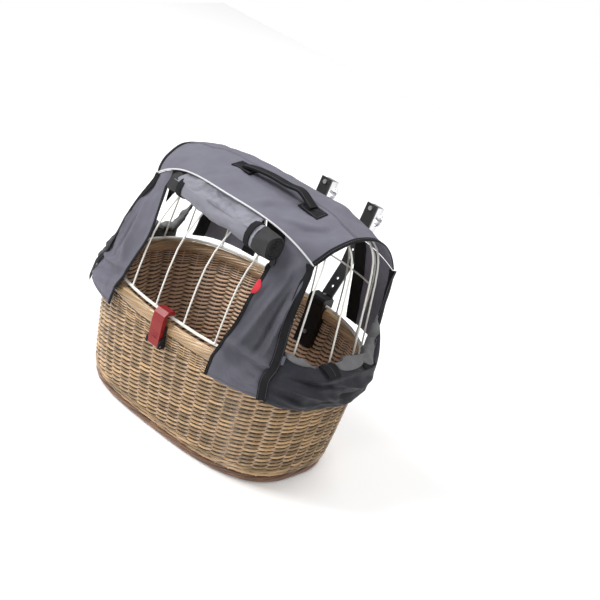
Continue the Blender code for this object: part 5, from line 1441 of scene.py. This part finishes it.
# stage
class BASKET_OT_stage(bpy.types.Operator):
    """Set the pale floor, the studio lights and the camera"""
    bl_idname = "basket.stage"
    bl_label = "Stage"

    def execute(self, context):
        scene = context.scene
        scene.view_settings.view_transform = "Standard"
        scene.view_settings.look = "None"
        mesh = bpy.data.meshes.new("floor")
        corners = [(x * FLOOR_HALF, y * FLOOR_HALF, FLOOR_HEIGHT)
                   for x, y in ((-1, -1), (1, -1), (1, 1), (-1, 1))]
        mesh.from_pydata(corners, [], [(0, 1, 2, 3)])
        floor = placed("floor", mesh)
        recipe = Recipe("pale_floor", (0.95, 0.95, 0.95), 0.9)
        recipe.feed("Base Color", recipe.mixed(recipe.clouds(3.0), (0.945,) * 3, (0.955,) * 3))
        recipe.shader.inputs["Emission Color"].default_value = (1.0, 1.0, 1.0, 1.0)
        recipe.shader.inputs["Emission Strength"].default_value = FLOOR_GLOW
        mesh.materials.append(recipe.material)
        for name, (place, size, power) in LIGHTS.items():
            data = bpy.data.lights.new(name, "AREA")
            data.size, data.energy = size, power
            lamp = placed(name, data)
            lamp.location = place
            aim = Vector(LIGHTS_AIM) - lamp.location
            lamp.rotation_euler = aim.to_track_quat("-Z", "Y").to_euler()
        world = bpy.data.worlds.new("studio")
        world.use_nodes = True
        scene.world = world
        tree = world.node_tree
        ground = tree.nodes["Background"]
        ground.inputs["Color"].default_value = (1.0, 1.0, 1.0, 1.0)
        rays = tree.nodes.new("ShaderNodeLightPath")
        seen = tree.nodes.new("ShaderNodeMath")
        seen.operation = "MAXIMUM"
        tree.links.new(rays.outputs["Is Camera Ray"], seen.inputs[0])
        tree.links.new(rays.outputs["Is Transmission Ray"], seen.inputs[1])
        strength = tree.nodes.new("ShaderNodeMapRange")
        strength.inputs["To Min"].default_value = WORLD_LIGHT
        strength.inputs["To Max"].default_value = 1.0
        tree.links.new(seen.outputs[0], strength.inputs["Value"])
        tree.links.new(strength.outputs["Result"], ground.inputs["Strength"])
        data = bpy.data.cameras.new("view")
        data.lens = CAMERA_LENS
        data.sensor_width = CAMERA_SENSOR
        camera = placed("view", data)
        right, down, ahead = Vector(CAMERA_RIGHT), Vector(CAMERA_DOWN), Vector(CAMERA_AHEAD)
        turn = Matrix((right, -down, -ahead)).transposed()
        camera.matrix_world = Matrix.Translation(CAMERA_PLACE) @ turn.to_4x4()
        scene.camera = camera
        return {"FINISHED"}


# add-on
def colour_choice(name, description, value):
    return bpy.props.FloatVectorProperty(name=name, description=description, default=value, subtype="COLOR",
                                         size=3, min=0.0, max=1.0)


def length_choice(name, description, value):
    return bpy.props.FloatProperty(name=name, description=description, default=value, unit="LENGTH",
                                   min=0.0001, max=1.0, precision=4)


class BasketColours(bpy.types.PropertyGroup):
    """Colours of the basket's materials"""
    willow: colour_choice("Willow", "Peeled willow rods of the wall and the rim", (0.44, 0.290, 0.150))
    # paler than the willow: painted light on the rods' inner sides, inside the basket where the lamps barely
    # reach
    willow_inside_painted_light: colour_choice("Willow inside", "Tint of the rods on the inside", (1.0, 0.72, 0.53))
    cane: colour_choice("Foot border", "Smooth canes of the foot border", (0.20, 0.095, 0.045))
    wire: colour_choice("Wire", "Dipped coat of the cage wires", (0.80, 0.79, 0.74))
    arm: colour_choice("Hanger arms", "Powder coat of the steel arms", (0.018, 0.018, 0.019))
    black: colour_choice("Black", "Moulded blocks, webbing and bindings", (0.008, 0.008, 0.009))
    lever: colour_choice("Lever", "Latch lever", (0.22, 0.005, 0.005))
    hood: colour_choice("Hood cloth", "Roof and corner panels", (0.128, 0.126, 0.160))
    flap: colour_choice("Flap cloth", "Outside of the side flaps", (0.0145, 0.0152, 0.0225))
    lining: colour_choice("Lining", "Pale lining of the side flaps", (0.16, 0.16, 0.165))
    roll: colour_choice("Window roll", "Silver side of the rolled window", (0.20, 0.20, 0.238))
    piping: colour_choice("Piping", "Cord along the front of the roof", (0.66, 0.66, 0.68))
    tag: colour_choice("Tab", "Red tab on the right front panel", (0.50, 0.030, 0.045))


class BasketSizes(bpy.types.PropertyGroup):
    """Sizes of the woven willow"""
    stakes: bpy.props.IntProperty(name="Stakes", description="Upright stakes of the wall", default=50,
                                  min=12, max=90)
    row_pitch: length_choice("Row pitch", "Height of one woven row", 0.0084)
    stake_radius: length_choice("Stake radius", "Radius of an upright stake", 0.0018)
    fine_band: length_choice("Fine band", "Height of the finer band under the rim", 0.025)
    fine_pitch: length_choice("Fine pitch", "Height of one row of the finer band", 0.0054)


PIECES = (
    BASKET_OT_willow, BASKET_OT_borders, BASKET_OT_wires, BASKET_OT_latch, BASKET_OT_hanger, BASKET_OT_roof,
    BASKET_OT_corners, BASKET_OT_flaps, BASKET_OT_roll, BASKET_OT_handle, BASKET_OT_trim, BASKET_OT_stage,
)


class BASKET_PT_panel(bpy.types.Panel):
    """Sidebar panel with the basket's sizes, colours and pieces"""
    bl_idname = "BASKET_PT_panel"
    bl_label = LABEL
    bl_space_type = "VIEW_3D"
    bl_region_type = "UI"
    bl_category = LABEL

    def draw(self, context):
        layout = self.layout
        for group in (context.scene.basket_sizes, context.scene.basket_colours):
            box = layout.box()
            for key in group.__annotations__:
                box.prop(group, key)
        for piece in PIECES:
            layout.operator(piece.bl_idname)


CLASSES = (BasketColours, BasketSizes) + PIECES + (BASKET_PT_panel,)


def register():
    for item in CLASSES:
        bpy.utils.register_class(item)
    bpy.types.Scene.basket_colours = bpy.props.PointerProperty(type=BasketColours)
    bpy.types.Scene.basket_sizes = bpy.props.PointerProperty(type=BasketSizes)


def unregister():
    del bpy.types.Scene.basket_sizes
    del bpy.types.Scene.basket_colours
    for item in reversed(CLASSES):
        bpy.utils.unregister_class(item)


def main():
    register()
    for piece in PIECES:
        group, name = piece.bl_idname.split(".")
        getattr(getattr(bpy.ops, group), name)()


if __name__ == "__main__":
    main()
